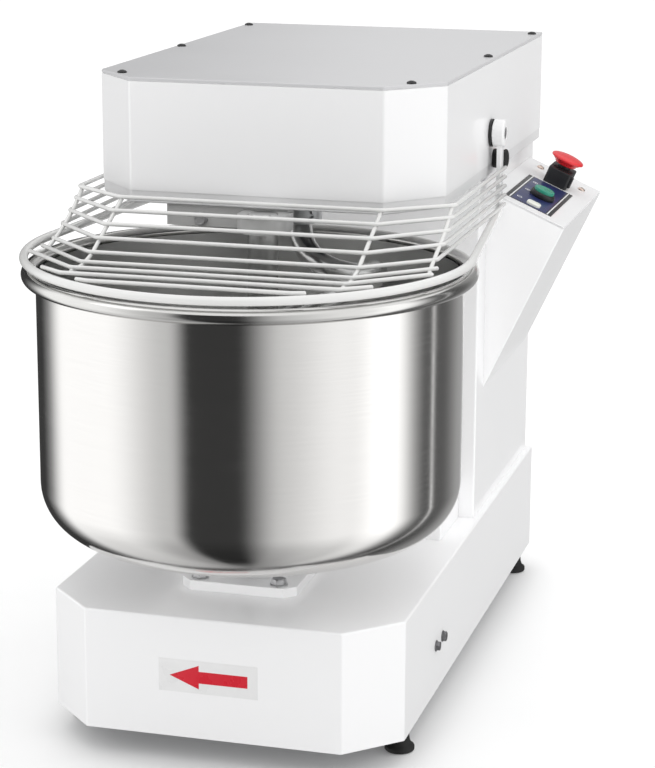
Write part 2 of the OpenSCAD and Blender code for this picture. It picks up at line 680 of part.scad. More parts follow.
// Welded cage: five sloping bent wires, the four flat ones on the ring, and the corner wires.
module guard_wires() color(white) {
    low = slope_wires - 1;
    for (i = [0:low]) level_sweep(rounded_path([
        [-wire_x, pivot_y + arm_half_y, wire_z(i)], [-wire_x, wire_corner(i), wire_z(i)],
        [-post_x, wire_front(i), wire_z(i)], [post_x, wire_front(i), wire_z(i)],
        [wire_x, wire_corner(i), wire_z(i)], [wire_x, pivot_y + arm_half_y, wire_z(i)]
    ], 8), wire_r, 16);
    for (q = flat_wires) level_sweep(rounded_path([
        mirrored(flat_end(q[2])), flat(-q[0], q[1]), flat(q[0], q[1]), flat_end(q[2])
    ], 8), wire_r, 16);
    // the corner wires cross under the others, pressed into them a little where they are welded
    under = 2 * wire_r - 1;
    slope = atan2(wire_z(0) - wire_z(low), wire_front(0) - wire_front(low));
    off = [0, under * sin(slope), -under * cos(slope)];
    both_sides() {
        front = [
            [post_x - 2, wire_front(0) + 2, wire_z(0) + 1] + off,
            [post_x - 2, wire_front(low), wire_z(low)] + off,
            flat(post_x - 2, flat_wires[0][1]) - [0, 0, under],
            flat(post_x - 2, flat_wires[1][1] - 3) - [0, 0, under]
        ];
        side = [
            for (i = [0:low]) [wire_x - under, wire_corner(i) + (i == 0 ? 3 : 0), wire_z(i)],
            flat(wire_x - under + 1, -57) - [0, 0, under - 0.5],
            flat(wire_x + 1, -76) - [0, 0, under - 1]
        ];
        for (q = [front, side], i = [1:len(q) - 1]) short_wire(q[i - 1], q[i]);
    }
}

// Flat arms with their round bosses and pins, which turn in the bushes of the hood.
module guard_arms() color(white) both_sides() difference() {
    union() {
        block([arm_x[0], pivot_y - arm_half_y, arm_z0], [arm_x[1], pivot_y + arm_half_y, pivot_z]);
        translate([0, pivot_y, pivot_z]) {
            bar_x(boss_r, boss_x[0], boss_x[1]);
            bar_x(pin_r, hood_half_w - 20, boss_x[1]);
            // collar that holds the pin in the bush; it also works the switch
            bar_x(pin_r + 6, hood_half_w - 20, hood_half_w - 12.5);
        }
    }
    // socket in the end of the boss
    translate([0, pivot_y, pivot_z]) translate([boss_x[1] - 2.5, 0, 0]) rotate([0, 90, 0])
        cylinder(r = 5, h = 10, $fn = 6);
}

// ---- Controls ------------------------------------------------------------------------------

// Profile of the control box across the machine, moved in by w from the outer faces.
module box_profile(w, top) {
    lower = atan2(panel_z - panel_dz - box_tip_z, panel_dx);
    polygon([
        [w, box_tip_z + w * (tan(lower) + 1 / cos(lower))],
        [panel_dx - w * 0.9, panel_z - panel_dz - top - w * 0.6],
        [panel_dx - w * 0.9 - 0.01, panel_z - panel_dz - top],
        [w, panel_z - top]
    ]);
}

module control_box() color(white) translate([col_half_w, box_rear, 0]) rotate([90, 0, 0]) difference() {
    linear_extrude(box_rear - box_front) box_profile(0, panel_t / cos(panel_tilt) + eps);
    translate([0, 0, sheet_t]) linear_extrude(box_rear - box_front - 2 * sheet_t) box_profile(sheet_t, -5);
    translate([-5, 440, 80]) cube([10, 60, 100]);
}

module control_panel() color(white) difference() {
    intersection() {
        on_panel(-5, 0, -panel_t) cube([panel_w + 5 + 0.5, box_rear - box_front, panel_t]);
        block([col_half_w, box_front, 400], [400, box_rear, 700]);
    }
    on_panel(start_st[0], start_st[1], -10) cylinder(r = 11.05, h = 20, $fn = 64);
    on_panel(stop_st[0], stop_st[1], -10) cylinder(r = 11.05, h = 20, $fn = 64);
    on_panel(lamp_st[0], lamp_st[1], -10) cylinder(r = 6.5, h = 20, $fn = 64);
    for (q = panel_screw_st) on_panel(q[0], q[1], -10) cylinder(r = 2.1, h = 20, $fn = 32);
}

panel_screw_st = [[21.5, 229], [80, 219]];

// Printed plate under the controls: dark blue field, white and black border stripes.
module panel_label() on_panel(label_s[0], label_t[0], 0) {
    w = label_s[1] - label_s[0];
    l = label_t[1] - label_t[0];
    difference() {
        union() {
            color("midnightblue") cube([w, l, 0.5]);
            color("white") for (x = [2, w - 4.5]) translate([x, 0, 0.5 - eps]) cube([2.5, l, 0.2]);
            // plain marks beside the controls
            color("white") for (y = [start_st[1], lamp_st[1], 139])
                translate([9.5, y - label_t[0], 0.5 - eps])
                mark(y == start_st[1] ? 0 : 1);
        }
        for (q = [[start_st, 11.05], [lamp_st, 6.5]])
            translate([q[0][0] - label_s[0], q[0][1] - label_t[0], -1]) cylinder(r = q[1], h = 5, $fn = 64);
    }
}

module mark(kind) difference() {
    cylinder(r = 3.4, h = 0.2, $fn = 48);
    if (kind == 1) translate([0, 0, -1]) cylinder(r = 2.2, h = 3, $fn = 48);
}

module panel_screws() color("rosybrown") for (q = panel_screw_st) on_panel(q[0], q[1], 0) {
    dome_head(4);
    translate([0, 0, -10]) cylinder(r = 2.05, h = 10.2, $fn = 32);
}

// Fixed ring and barrel of the start button.
module start_bezel() color(black) on_panel(start_st[0], start_st[1], 0) difference() {
    union() {
        translate([0, 0, 0.5]) rotate_extrude($fn = 96)
            polygon([[0, 0], [15, 0], [15, 5], [14, 7], [0, 7]]);
        translate([0, 0, -30]) cylinder(r = 11, h = 31, $fn = 64);
    }
    translate([0, 0, -24]) cylinder(r = 9 + fit, h = 60, $fn = 64);
    translate([0, 0, 2.5]) cylinder(r = 12.8, h = 60, $fn = 96);
}

module start_button() color("mediumseagreen") on_panel(start_st[0], start_st[1], 0) {
    translate([0, 0, -17]) cylinder(r = 9, h = 25, $fn = 64);
    translate([0, 0, 7]) rotate_extrude($fn = 96)
        polygon([[0, 0], [12.4, 0], [12.4, 3], [11.6, 4], [0, 4.4]]);
}

module lamp_lens() color("ivory") on_panel(lamp_st[0], lamp_st[1], 0) {
    translate([0, 0, 0.5 + eps]) linear_extrude(2.2) rounded(17, 16, 5);
    translate([0, 0, 2.7]) linear_extrude(0.6) rounded(14, 13, 4);
    translate([0, 0, -18]) cylinder(r = 6.4, h = 18.6, $fn = 64);
}

module rounded(w, l, r) {
    square([w - 2 * r, l], center = true);
    square([w, l - 2 * r], center = true);
    for (x = sides, y = sides) translate([x * (w / 2 - r), y * (l / 2 - r)]) circle(r = r, $fn = 48);
}

// Body of the emergency stop, with the latch tab on its outer side.
module stop_housing() color(black) on_panel(stop_st[0], stop_st[1], 0) difference() {
    union() {
        linear_extrude(stop_h) rounded(2 * stop_half[0], 2 * stop_half[1], 3);
        translate([stop_half[0] - 1, -17, 4]) cube([4, 9, 13]);
        translate([0, 0, -30]) cylinder(r = 11, h = 31, $fn = 64);
        translate([0, 0, stop_h - eps]) cylinder(r = 14, h = stop_collar, $fn = 96);
    }
    translate([0, 0, -24]) cylinder(r = 8 + fit, h = 80, $fn = 64);
}

// Stem of the emergency stop, pressed down by the mushroom.
module stop_plunger() color("gray") on_panel(stop_st[0], stop_st[1], 0)
    translate([0, 0, -16]) cylinder(r = 8, h = 16 + stop_cap_h + 5, $fn = 64);

// Red mushroom: pressed to stop the machine and turned to release it.
module stop_button() color("firebrick") on_panel(stop_st[0], stop_st[1], stop_cap_h) difference() {
    rotate_extrude($fn = 128) polygon([
        [0, 0], [12.5, 0], [13.5, 0.6], [14, 3], [16.5, 4], [17.5, 5.5], [20.2, 6.4], [20.6, 7.6],
        [20, 9], [16.5, 10.4], [10, 11.6], [0, 12]
    ]);
    translate([0, 0, -1]) cylinder(r = 8 + fit, h = 6.1, $fn = 64);
}

// Contactor on a rail inside the control box.
module contactor() color("dimgray") translate([col_half_w, 0, 0]) {
    block([sheet_t - 1.9, 410, 452], [6, 490, 470]);
    block([6, 425, 440], [46, 475, 482]);
    block([46, 432, 448], [54, 468, 474]);
}

// ---- Bowl and its drive --------------------------------------------------------------------

// Half section of a round pan with the outer radius r, from the bottom z0 up to z1.
module pan_section(r, corner, z0, z1) {
    square_at(0, z0 + corner, r, z1);
    square_at(0, z0, r - corner, z1);
    intersection() {
        translate([r - corner, z0 + corner]) circle(r = corner, $fn = 128);
        square_at(0, z0, r, z1);
    }
}

module square_at(x0, y0, x1, y1) translate([x0, y0]) square([x1 - x0, y1 - y0]);

module bowl() color(steel) rotate_extrude($fn = 256) {
    difference() {
        pan_section(bowl_r, bowl_corner_r, bowl_z0, rim_z);
        pan_section(bowl_r - bowl_t, bowl_corner_r - bowl_t, bowl_z0 + bowl_t, rim_z + 1);
    }
    translate([bowl_r + rim_r - 1, rim_z]) circle(r = rim_r, $fn = 64);
}

// Upright shaft with the flange that carries the bowl.
module bowl_hub() color("gray") difference() {
    union() {
        ring(bowl_shaft_r, hub_z - 56, 56);
        ring(62, 8, hub_z);
        ring(30, hub_z - 176, 176);
    }
    for (a = [45:90:315]) rotate(a) translate([48, 0, hub_z - 5]) cylinder(r = 5, h = 20, $fn = 32);
}

module bowl_hub_bolts() color(steel) for (a = [45:90:315]) rotate(a) translate([48, 0, hub_z]) {
    mirror([0, 0, 1]) hex_head(8.5);
    cylinder(r = 4.95, h = 7.9, $fn = 32);
}

module bowl_pulley() color("darkgray") translate([0, 0, bowl_belt_z])
    pulley(bowl_pulley_r, bowl_shaft_r, 34);

module drive_shaft() color("gray") translate([0, drive_y, 0]) {
    ring(shaft_r, 640, 54);
    for (z = [54, 690]) translate([0, 0, z]) ring(shaft_r + 6, 4);
}

module bowl_drive_pulley() color("darkgray") translate([0, drive_y, bowl_belt_z])
    pulley(bowl_pinion_r, shaft_r, 20);

module spiral_drive_pulley() color("darkgray") translate([0, drive_y, spiral_belt_z])
    pulley(spiral_pinion_r, shaft_r, 26);

// ---- Spiral --------------------------------------------------------------------------------

hook_top = 536;

module spiral_shaft() color(steel) translate([spiral_xy[0], spiral_xy[1], 0]) {
    ring(tool_shaft_r, 690 - hook_top, hook_top);
    ring(24, 22, hook_top);
    // clamp screws of the spiral, across the hub
    for (z = [541, 549.5], a = [-40, 140]) translate([0, 0, z]) rotate(a) rotate([0, 90, 0])
        translate([0, 0, 22]) cylinder(r = 3.6, h = 6, $fn = 6);
}

module spiral_pulley() color("darkgray") translate([spiral_xy[0], spiral_xy[1], spiral_belt_z])
    pulley(spiral_pulley_r, tool_shaft_r, 26);

// The hook's centre line: down from the hub, out to the spiral's radius, round and in at the foot.
hook_neck = hook_top - 4;
hook_out = 480;
hook_foot = 282;
hook_end = 247;
hook_foot_r = 62;
hook_start = -62;           // azimuth where the bar leaves the hub
hook_sweep = 75;            // azimuth taken by the way out
hook_turn = 350;            // azimuth of the spiral itself
hook_foot_turn = 55;
hook_rings = [12, 44, 12];

function ease(t) = t * t * (3 - 2 * t);
function cyl(r, a, z) = [r * cos(a), r * sin(a), z];
hook_path = concat(
    [[0, 0, hook_top - 0.05]],
    [for (i = [0:hook_rings[0] - 1]) let (t = i / hook_rings[0])
        cyl(spiral_r * ease(t), hook_start + hook_sweep * t * t,
            hook_neck - (hook_neck - hook_out) * sin(90 * t))],
    [for (i = [0:hook_rings[1] - 1]) let (t = i / hook_rings[1])
        cyl(spiral_r, hook_start + hook_sweep + hook_turn * t,
            hook_out - (hook_out - hook_foot) * (t + 0.1 * sin(180 * t) * (1 - t)))],
    [for (i = [0:hook_rings[2]]) let (t = i / hook_rings[2])
        cyl(spiral_r + (hook_foot_r - spiral_r) * ease(t),
            hook_start + hook_sweep + hook_turn + hook_foot_turn * t,
            hook_foot - (hook_foot - hook_end) * sin(90 * t))]
);

hook_angles = concat(
    [hook_start],
    [for (i = [0:hook_rings[0] - 1]) hook_start + hook_sweep * pow(i / hook_rings[0], 2)],
    [for (i = [0:hook_rings[1] - 1]) hook_start + hook_sweep + hook_turn * i / hook_rings[1]],
    [for (i = [0:hook_rings[2]]) hook_start + hook_sweep + hook_turn + hook_foot_turn * i / hook_rings[2]]
);
// A direction that the bar never runs along: up, round and inward.
hook_aside = [for (a = hook_angles) [-cos(a) - sin(a), -sin(a) + cos(a), 1]];
hook_size = [for (i = [0:len(hook_path) - 1]) i == len(hook_path) - 1 ? 0.6 : i == 0 ? 0.9 : 1];

module spiral_hook() color(steel) translate([spiral_xy[0], spiral_xy[1], 0])
    sweep(hook_path, hook_aside, spiral_bar_r, 20, hook_size);

// Puts the origin under the middle of the machine.
module centred() translate([-middle_xy[0], -middle_xy[1], 0]) children();

centred() base_shell();
centred() base_floor();
centred() base_chassis();
centred() feet();
centred() foot_studs();
centred() bearing_plate();
centred() bearing_plate_bolts();
centred() bowl_bearing_housing();
centred() bowl_bearings();
centred() drive_step();
centred() column_shell();
centred() column_frame();
centred() rear_cover();
centred() rear_cover_screws();
centred() cable_gland();
centred() head_pan();
centred() head_plate();
centred() hood_shell();
centred() hood_lid();
centred() lid_screws();
centred() spiral_bearing_housing();
centred() spiral_bearings();
centred() motor_body();
centred() motor_fan_cover();
centred() motor_terminal_box();
centred() gearbox();
centred() gearbox_bolts();
centred() spiral_belt();
centred() bowl_belt();
centred() breaker_bracket();
centred() breaker_bar();
centred() frame_bolts();
centred() guard_bushes();
centred() guard_stops();
centred() guard_switch();
centred() control_box();
centred() control_panel();
centred() panel_label();
centred() panel_screws();
centred() start_bezel();
centred() lamp_lens();
centred() stop_housing();
centred() contactor();
centred() direction_arrow();
centred() bowl();
centred() bowl_hub();
centred() bowl_hub_bolts();
centred() bowl_pulley();
centred() drive_shaft();
centred() bowl_drive_pulley();
centred() spiral_drive_pulley();
centred() spiral_shaft();
centred() spiral_hook();
centred() spiral_pulley();
centred() guard_ring();
centred() guard_wires();
centred() guard_arms();
centred() start_button();
centred() stop_plunger();
centred() stop_button();
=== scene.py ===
import json
import math

import bmesh
import bpy
from mathutils import Matrix, Vector
from mathutils.geometry import tessellate_polygon

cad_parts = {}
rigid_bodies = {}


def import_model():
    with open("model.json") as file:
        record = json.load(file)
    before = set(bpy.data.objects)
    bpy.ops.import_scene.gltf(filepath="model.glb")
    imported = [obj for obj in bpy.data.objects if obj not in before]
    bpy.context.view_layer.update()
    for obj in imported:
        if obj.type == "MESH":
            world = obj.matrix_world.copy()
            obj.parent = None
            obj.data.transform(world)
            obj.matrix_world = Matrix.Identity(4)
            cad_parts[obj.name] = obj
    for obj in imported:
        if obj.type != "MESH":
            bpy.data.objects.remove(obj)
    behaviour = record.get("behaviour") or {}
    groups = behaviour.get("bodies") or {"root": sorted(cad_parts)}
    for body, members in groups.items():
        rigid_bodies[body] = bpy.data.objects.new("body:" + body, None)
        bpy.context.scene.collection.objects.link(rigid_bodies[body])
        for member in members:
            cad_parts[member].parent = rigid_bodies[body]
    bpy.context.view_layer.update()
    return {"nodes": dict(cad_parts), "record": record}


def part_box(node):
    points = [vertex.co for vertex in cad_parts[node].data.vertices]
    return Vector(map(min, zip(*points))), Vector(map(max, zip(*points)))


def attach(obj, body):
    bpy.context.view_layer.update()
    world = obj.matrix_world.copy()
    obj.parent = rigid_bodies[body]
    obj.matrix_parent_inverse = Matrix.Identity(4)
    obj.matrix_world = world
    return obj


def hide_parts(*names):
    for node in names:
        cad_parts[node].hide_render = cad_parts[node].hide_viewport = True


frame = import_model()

nodes = frame["nodes"]
scene = bpy.context.scene
MM = 0.001

# The object's lengths are in mm and measured from the bowl's axis. Materials, stage and lights are in metres.
BOWL_TO_FEET = 267.5  # from the bowl's axis back to the middle of the four feet
feet_low, feet_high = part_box("feet")
HOME = Matrix.Translation((
    (feet_low[0] + feet_high[0]) / 2, (feet_low[1] + feet_high[1]) / 2 - BOWL_TO_FEET * MM, 0))


# ---- Materials -----------------------------------------------------------------------------


class Nodes:
    """Short way to build a material's node tree; sockets with constants are set on the socket."""

    def __init__(self, name):
        self.material = bpy.data.materials.new(name)
        self.material.use_nodes = True
        self.tree = self.material.node_tree
        self.tree.nodes.clear()
        self.out = self.new("ShaderNodeOutputMaterial")
        self.bsdf = self.new("ShaderNodeBsdfPrincipled")
        self.link(self.bsdf.outputs[0], self.out.inputs[0])
        self.coord = self.new("ShaderNodeTexCoord").outputs["Object"]

    def new(self, kind, **inputs):
        node = self.tree.nodes.new(kind)
        for key, value in inputs.items():
            self.put(node, key, value)
        return node

    def put(self, node, key, value):
        if hasattr(node, key) and key not in node.inputs:
            setattr(node, key, value)
        elif isinstance(value, bpy.types.NodeSocket):
            self.link(value, node.inputs[key])
        else:
            node.inputs[key].default_value = value

    def link(self, a, b):
        self.tree.links.new(a, b)

    def set(self, **values):
        for key, value in values.items():
            self.put(self.bsdf, key.replace("_", " "), value)

    def scaled(self, x, y, z):
        node = self.new("ShaderNodeMapping", Scale=(x, y, z))
        self.link(self.coord, node.inputs["Vector"])
        return node.outputs[0]

    def noise(self, scale, detail=3.0, rough=0.5, vector=None):
        node = self.new("ShaderNodeTexNoise")
        node.inputs["Scale"].default_value = scale
        node.inputs["Detail"].default_value = detail
        node.inputs["Roughness"].default_value = rough
        self.link(vector or self.coord, node.inputs["Vector"])
        return node.outputs["Fac"]

    def remap(self, fac, low, high, start=0.3, end=0.7):
        node = self.new("ShaderNodeMapRange")
        for key, value in zip(("From Min", "From Max", "To Min", "To Max"), (start, end, low, high)):
            node.inputs[key].default_value = value
        self.link(fac, node.inputs["Value"])
        return node.outputs[0]

    def mix(self, fac, a, b):
        node = self.new("ShaderNodeMix")
        node.data_type = "RGBA"
        for index, value in ((0, fac), (6, a), (7, b)):
            if isinstance(value, bpy.types.NodeSocket):
                self.link(value, node.inputs[index])
            else:
                node.inputs[index].default_value = (*value, 1.0) if isinstance(value, tuple) else value
        return node.outputs[2]

    def bump(self, height, strength, distance, normal=None):
        node = self.new("ShaderNodeBump")
        node.inputs["Strength"].default_value = strength
        node.inputs["Distance"].default_value = distance
        self.link(height, node.inputs["Height"])
        if normal is not None:
            self.link(normal, node.inputs["Normal"])
        return node.outputs[0]


def darker(color, share):
    return tuple(c * share for c in color)


def paint(name, color, rough=0.31, peel=0.05, coat=0.35):
    """Powder coat: fine orange peel, slight cloudiness in tone and gloss."""
    n = Nodes(name)
    cloud = n.noise(7.0, 4.0)
    n.set(Base_Color=n.mix(cloud, darker(color, 0.988), color))
    n.set(Roughness=n.remap(cloud, rough - 0.03, rough + 0.04, 0.0, 1.0))
    n.set(Coat_Weight=coat, Coat_Roughness=0.08, Specular_IOR_Level=0.5)
    fine = n.bump(n.noise(900.0, 2.0), peel, 0.0004)
    n.set(Normal=n.bump(n.noise(160.0, 2.0), peel * 0.8, 0.001, fine))
    return n.material


def steel(name, color, rough=0.26, grain=(1.0, 1.0, 60.0), strength=0.06, aniso=0.0, fade=0.86):
    """Metal with a directional grain: long fine scratches that vary tone, gloss and height."""
    n = Nodes(name)
    streak = n.noise(14.0, 5.0, 0.65, n.scaled(*grain))
    cloud = n.noise(9.0, 3.0)
    n.set(Base_Color=n.mix(streak, darker(color, fade), color), Metallic=1.0)
    both = n.new("ShaderNodeMath")
    both.operation = "ADD"
    n.link(n.remap(streak, rough - 0.03, rough + 0.04), both.inputs[0])
    n.link(n.remap(cloud, -0.02, 0.03), both.inputs[1])
    n.set(Roughness=both.outputs[0], Normal=n.bump(streak, strength, 0.0006))
    if aniso:
        n.set(Anisotropic=aniso, Anisotropic_Rotation=0.25)
        t = n.new("ShaderNodeTangent")
        t.direction_type = "RADIAL"
        t.axis = "Z"
        n.set(Tangent=t.outputs[0])
    return n.material


def plastic(name, color, rough=0.35, texture=0.12, scale=1400.0, spec=0.5):
    """Moulded plastic, rubber or print: even colour with a fine grain."""
    n = Nodes(name)
    cloud = n.noise(40.0, 3.0)
    n.set(Base_Color=n.mix(cloud, darker(color, 0.88), color))
    n.set(Roughness=n.remap(cloud, rough - 0.05, rough + 0.07), Specular_IOR_Level=spec)
    n.set(Normal=n.bump(n.noise(scale, 2.0), texture, 0.0002))
    return n.material


def cast(name, color):
    """Painted casting: lumpy surface, dull in places."""
    n = Nodes(name)
    lump = n.noise(260.0, 5.0, 0.7)
    n.set(Base_Color=n.mix(lump, darker(color, 0.75), color), Metallic=0.25)
    n.set(Roughness=n.remap(lump, 0.5, 0.7), Normal=n.bump(lump, 0.35, 0.0008))
    return n.material


# kind and colour, then for paint: roughness, peel, coat; steel: roughness, grain, relief, anisotropy, fade;
# plastic: roughness, relief, scale of the grain, specular level
LOOKS = {
    "white_paint": (paint, (0.84, 0.84, 0.845)),
    "lid_paint": (paint, (0.56, 0.56, 0.57), 0.34, 0.03, 0.1),
    # painted shade: the head's pan is a darker copy of the white paint, for the shade on the band under the
    # hood
    "pan_paint": (paint, (0.76, 0.76, 0.765)),
    # painted shade: the breaker bracket is mid grey for the shade it lies in under the hood
    "bracket_paint": (paint, (0.50, 0.50, 0.495), 0.36),
    # painted shade: the guard's white wires and hoop are darkened to grey for the shade they lie in
    "wire_paint": (paint, (0.72, 0.72, 0.71), 0.23, 0.02),
    "frame_steel": (paint, (0.11, 0.115, 0.125), 0.45, 0.08, 0.0),
    "bare_steel": (steel, (0.60, 0.61, 0.62), 0.33, (1.0, 1.0, 30.0)),
    "bowl_steel": (steel, (0.82, 0.81, 0.795), 0.125, (1.2, 1.2, 48.0), 0.012, 0.6, 0.91),
    "bowl_inside": (steel, (0.78, 0.78, 0.77), 0.33, (1.0, 1.0, 60.0), 0.012, 0.5, 0.92),
    "rim_steel": (steel, (0.72, 0.715, 0.70), 0.14, (1.0, 1.0, 20.0), 0.02),
    "stainless": (steel, (0.70, 0.70, 0.695), 0.2, (1.0, 1.0, 8.0), 0.05),
    "dark_steel": (steel, (0.25, 0.25, 0.26), 0.34, (3.0, 3.0, 3.0), 0.06),
    "zinc_steel": (steel, (0.62, 0.62, 0.63), 0.33, (3.0, 3.0, 3.0), 0.08),
    "cast_housing": (cast, (0.16, 0.165, 0.175)),
    "gear_cast": (cast, (0.07, 0.12, 0.19)),
    "motor_aluminium": (cast, (0.11, 0.17, 0.25)),
    "pulley_aluminium": (steel, (0.58, 0.585, 0.60), 0.34, (1.0, 1.0, 25.0)),
    "rubber_black": (plastic, (0.018, 0.018, 0.018), 0.62, 0.25, 900.0, 0.3),
    "black_plastic": (plastic, (0.014, 0.014, 0.016), 0.42, 0.18),
    "black_screws": (plastic, (0.015, 0.015, 0.016), 0.33, 0.05),
    "copper_screws": (steel, (0.80, 0.66, 0.58), 0.33, (3.0, 3.0, 3.0), 0.06),
    "red_plastic": (plastic, (0.72, 0.022, 0.03), 0.26, 0.03),
    "green_plastic": (plastic, (0.02, 0.30, 0.20), 0.3, 0.03),
    "lens_white": (plastic, (0.86, 0.87, 0.80), 0.2, 0.02),
    "label_blue": (plastic, (0.019, 0.028, 0.115), 0.3, 0.03),
    "label_white": (plastic, (0.82, 0.83, 0.84), 0.32, 0.03),
    "label_black": (plastic, (0.012, 0.012, 0.014), 0.3, 0.03),
    "arrow_red": (plastic, (0.66, 0.012, 0.03), 0.28, 0.03),
    "arrow_plate": (plastic, (0.80, 0.80, 0.80), 0.3, 0.02),
}
MATERIALS = {name: look[0](name, *look[1:]) for name, look in LOOKS.items()}


def shade(ob, material):
    ob.data.materials.clear()
    ob.data.materials.append(MATERIALS[material])
    return ob


# ---- Geometry helpers ----------------------------------------------------------------------


def smooth(me, sharp):
    """Smooth shading; edges that turn by more than sharp degrees stay crisp."""
    me.polygons.foreach_set("use_smooth", [True] * len(me.polygons))
    me.set_sharp_from_angle(angle=math.radians(sharp))


def piece(name, verts, faces, material, body, sharp=38, placed=None):
    """A mesh object in the shared frame that rides on a CAD body."""
    me = bpy.data.meshes.new(name)
    me.from_pydata([tuple(v) for v in verts], [], faces)
    me.validate()
    me.update()
    smooth(me, sharp)
    ob = bpy.data.objects.new(name, me)
    scene.collection.objects.link(ob)
    shade(ob, material)
    if placed is not None:
        me.transform(placed)
    me.transform(HOME)
    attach(ob, body)
    return ob


def add_ring(verts, points):
    """Adds points to the vertices and returns their indices."""
    first = len(verts)
    verts.extend(points)
    return list(range(first, len(verts)))


def add_band(faces, a, b):
    """Quads between two rings of vertices."""
    for i in range(len(a)):
        j = (i + 1) % len(a)
        faces.append((a[i], a[j], b[j], b[i]))


def turned(name, profile, material, body, at=None, segs=96, shape=None, sharp=38):
    """Solid of revolution about Z from (r, z) points; r 0 closes it, and shape(angle, r) may bend a ring."""
    verts, rows = [], []
    for r, z in profile:
        if r < 1e-6:
            rows.append(add_ring(verts, [(0, 0, z * MM)]))
            continue
        points = []
        for i in range(segs):
            a = 2 * math.pi * i / segs
            q = shape(a, r) if shape else r
            points.append((q * math.cos(a) * MM, q * math.sin(a) * MM, z * MM))
        rows.append(add_ring(verts, points))
    faces = []
    for a, b in zip(rows, rows[1:]):
        if len(a) == 1:
            faces += [(a[0], b[(i + 1) % segs], b[i]) for i in range(segs)]
        elif len(b) == 1:
            faces += [(a[i], a[(i + 1) % segs], b[0]) for i in range(segs)]
        else:
            add_band(faces, a, b)
    return piece(name, verts, faces, material, body, sharp, at)


def hexed(flat):
    """Radius of a hexagon with the given half width across flats, at an angle."""
    return lambda a: flat / math.cos((a + math.pi / 6) % (math.pi / 3) - math.pi / 6)


def arc(cx, cz, r, a0, a1, n):
    """Points of an arc round (cx, cz), from a0 to a1 degrees."""
    return [
        (cx + r * math.cos(math.radians(a0 + (a1 - a0) * i / n)),
         cz + r * math.sin(math.radians(a0 + (a1 - a0) * i / n)))
        for i in range(n + 1)
    ]


def tube(name, path, r, material, body, aside=(0, 0, 1), sides=24, cap=True, size=None):
    """Round bar along a path; cap rounds its ends, and size scales its radius along the path."""
    pts = [Vector(p) for p in path]
    last = len(pts) - 1
    sideways = aside if isinstance(aside, list) else [aside] * len(pts)
    verts, rows = [], []

    def ring(centre, u, v, q):
        turns = [2 * math.pi * k / sides for k in range(sides)]
        rows.append(add_ring(verts, [(centre + q * (math.cos(a) * u + math.sin(a) * v)) * MM for a in turns]))

    frames = []
    for i, p in enumerate(pts):
        t = (pts[min(i + 1, last)] - pts[max(i - 1, 0)]).normalized()
        u = t.cross(Vector(sideways[i])).normalized()
        frames.append((p, t, u, t.cross(u)))
    q = size or [1.0] * len(pts)
    if cap:
        p, t, u, v = frames[0]
        for a in (8, 35, 65):
            s, c = math.sin(math.radians(a)), math.cos(math.radians(a))
            ring(p - t * (r * q[0] * c * 0.8), u, v, r * q[0] * s)
    for i, (p, t, u, v) in enumerate(frames):
        ring(p, u, v, r * q[i])
    if cap:
        p, t, u, v = frames[-1]
        for a in (65, 35, 8):
            s, c = math.sin(math.radians(a)), math.cos(math.radians(a))
            ring(p + t * (r * q[-1] * c * 0.8), u, v, r * q[-1] * s)
    faces = []
    for a, b in zip(rows, rows[1:]):
        add_band(faces, a, b)
    faces.append(tuple(reversed(rows[0])))
    faces.append(tuple(rows[-1]))
    return piece(name, verts, faces, material, body, 60)


def ease(t):
    """Soft step from 0 to 1."""
    return t * t * (3 - 2 * t)


def round_corner(a, p, b, r, n):
    """The corner p between a and b as an arc of n + 1 points."""
    u, v = (a - p).normalized(), (b - p).normalized()
    half = u.angle(v) / 2
    c = p + (u + v).normalized() * (r / math.sin(half))
    e = (p + u * (r / math.tan(half)) - c).normalized()
    turns = [(math.pi - 2 * half) * k / n for k in range(n + 1)]
    return [c + r * (math.cos(t) * e - math.sin(t) * u) for t in turns]


def bent(points, r, n=7):
    """Polyline with rounded inner corners."""
    points = [Vector(p) for p in points]
    out = [points[0]]
    for a, p, b in zip(points, points[1:], points[2:]):
        out += round_corner(a, p, b, r, n)
    out.append(points[-1])
    return out


def inset(corners, w):
    """Corners of a counter-clockwise outline, moved in by w."""
    out, count = [], len(corners)
    for i, p in enumerate(corners):
        p, a, b = Vector(p), Vector(corners[i - 1]), Vector(corners[(i + 1) % count])
        u, v = (p - a).normalized(), (b - p).normalized()
        m, n = Vector((-u.y, u.x)), Vector((-v.y, v.x))
        out.append(p + (m + n) * (w / (1 + m.dot(n))))
    return out


CORNER = 5  # steps of an outline's corner


def outline(corners, radii, w=0.0):
    """Outline with rounded corners, moved in by w; each corner takes CORNER + 1 points."""
    out, points = [], inset(corners, w)
    for i, p in enumerate(points):
        a, b = points[i - 1], points[(i + 1) % len(points)]
        outer_corner = (p - a).cross(b - p) > 0
        r = max(0.3, radii[i] - w) if outer_corner else radii[i] + w
        out += round_corner(a, p, b, r, CORNER)
    return out


def circle(x, y, r, n=48):
    turns = [2 * math.pi * k / n for k in range(n)]
    return [Vector((x + r * math.cos(a), y + r * math.sin(a))) for a in turns]


def opening(x0, y0, x1, y1):
    """Rectangular hole with rounded corners."""
    return outline(rectangle(x0, y0, x1, y1), [4.0] * 4)


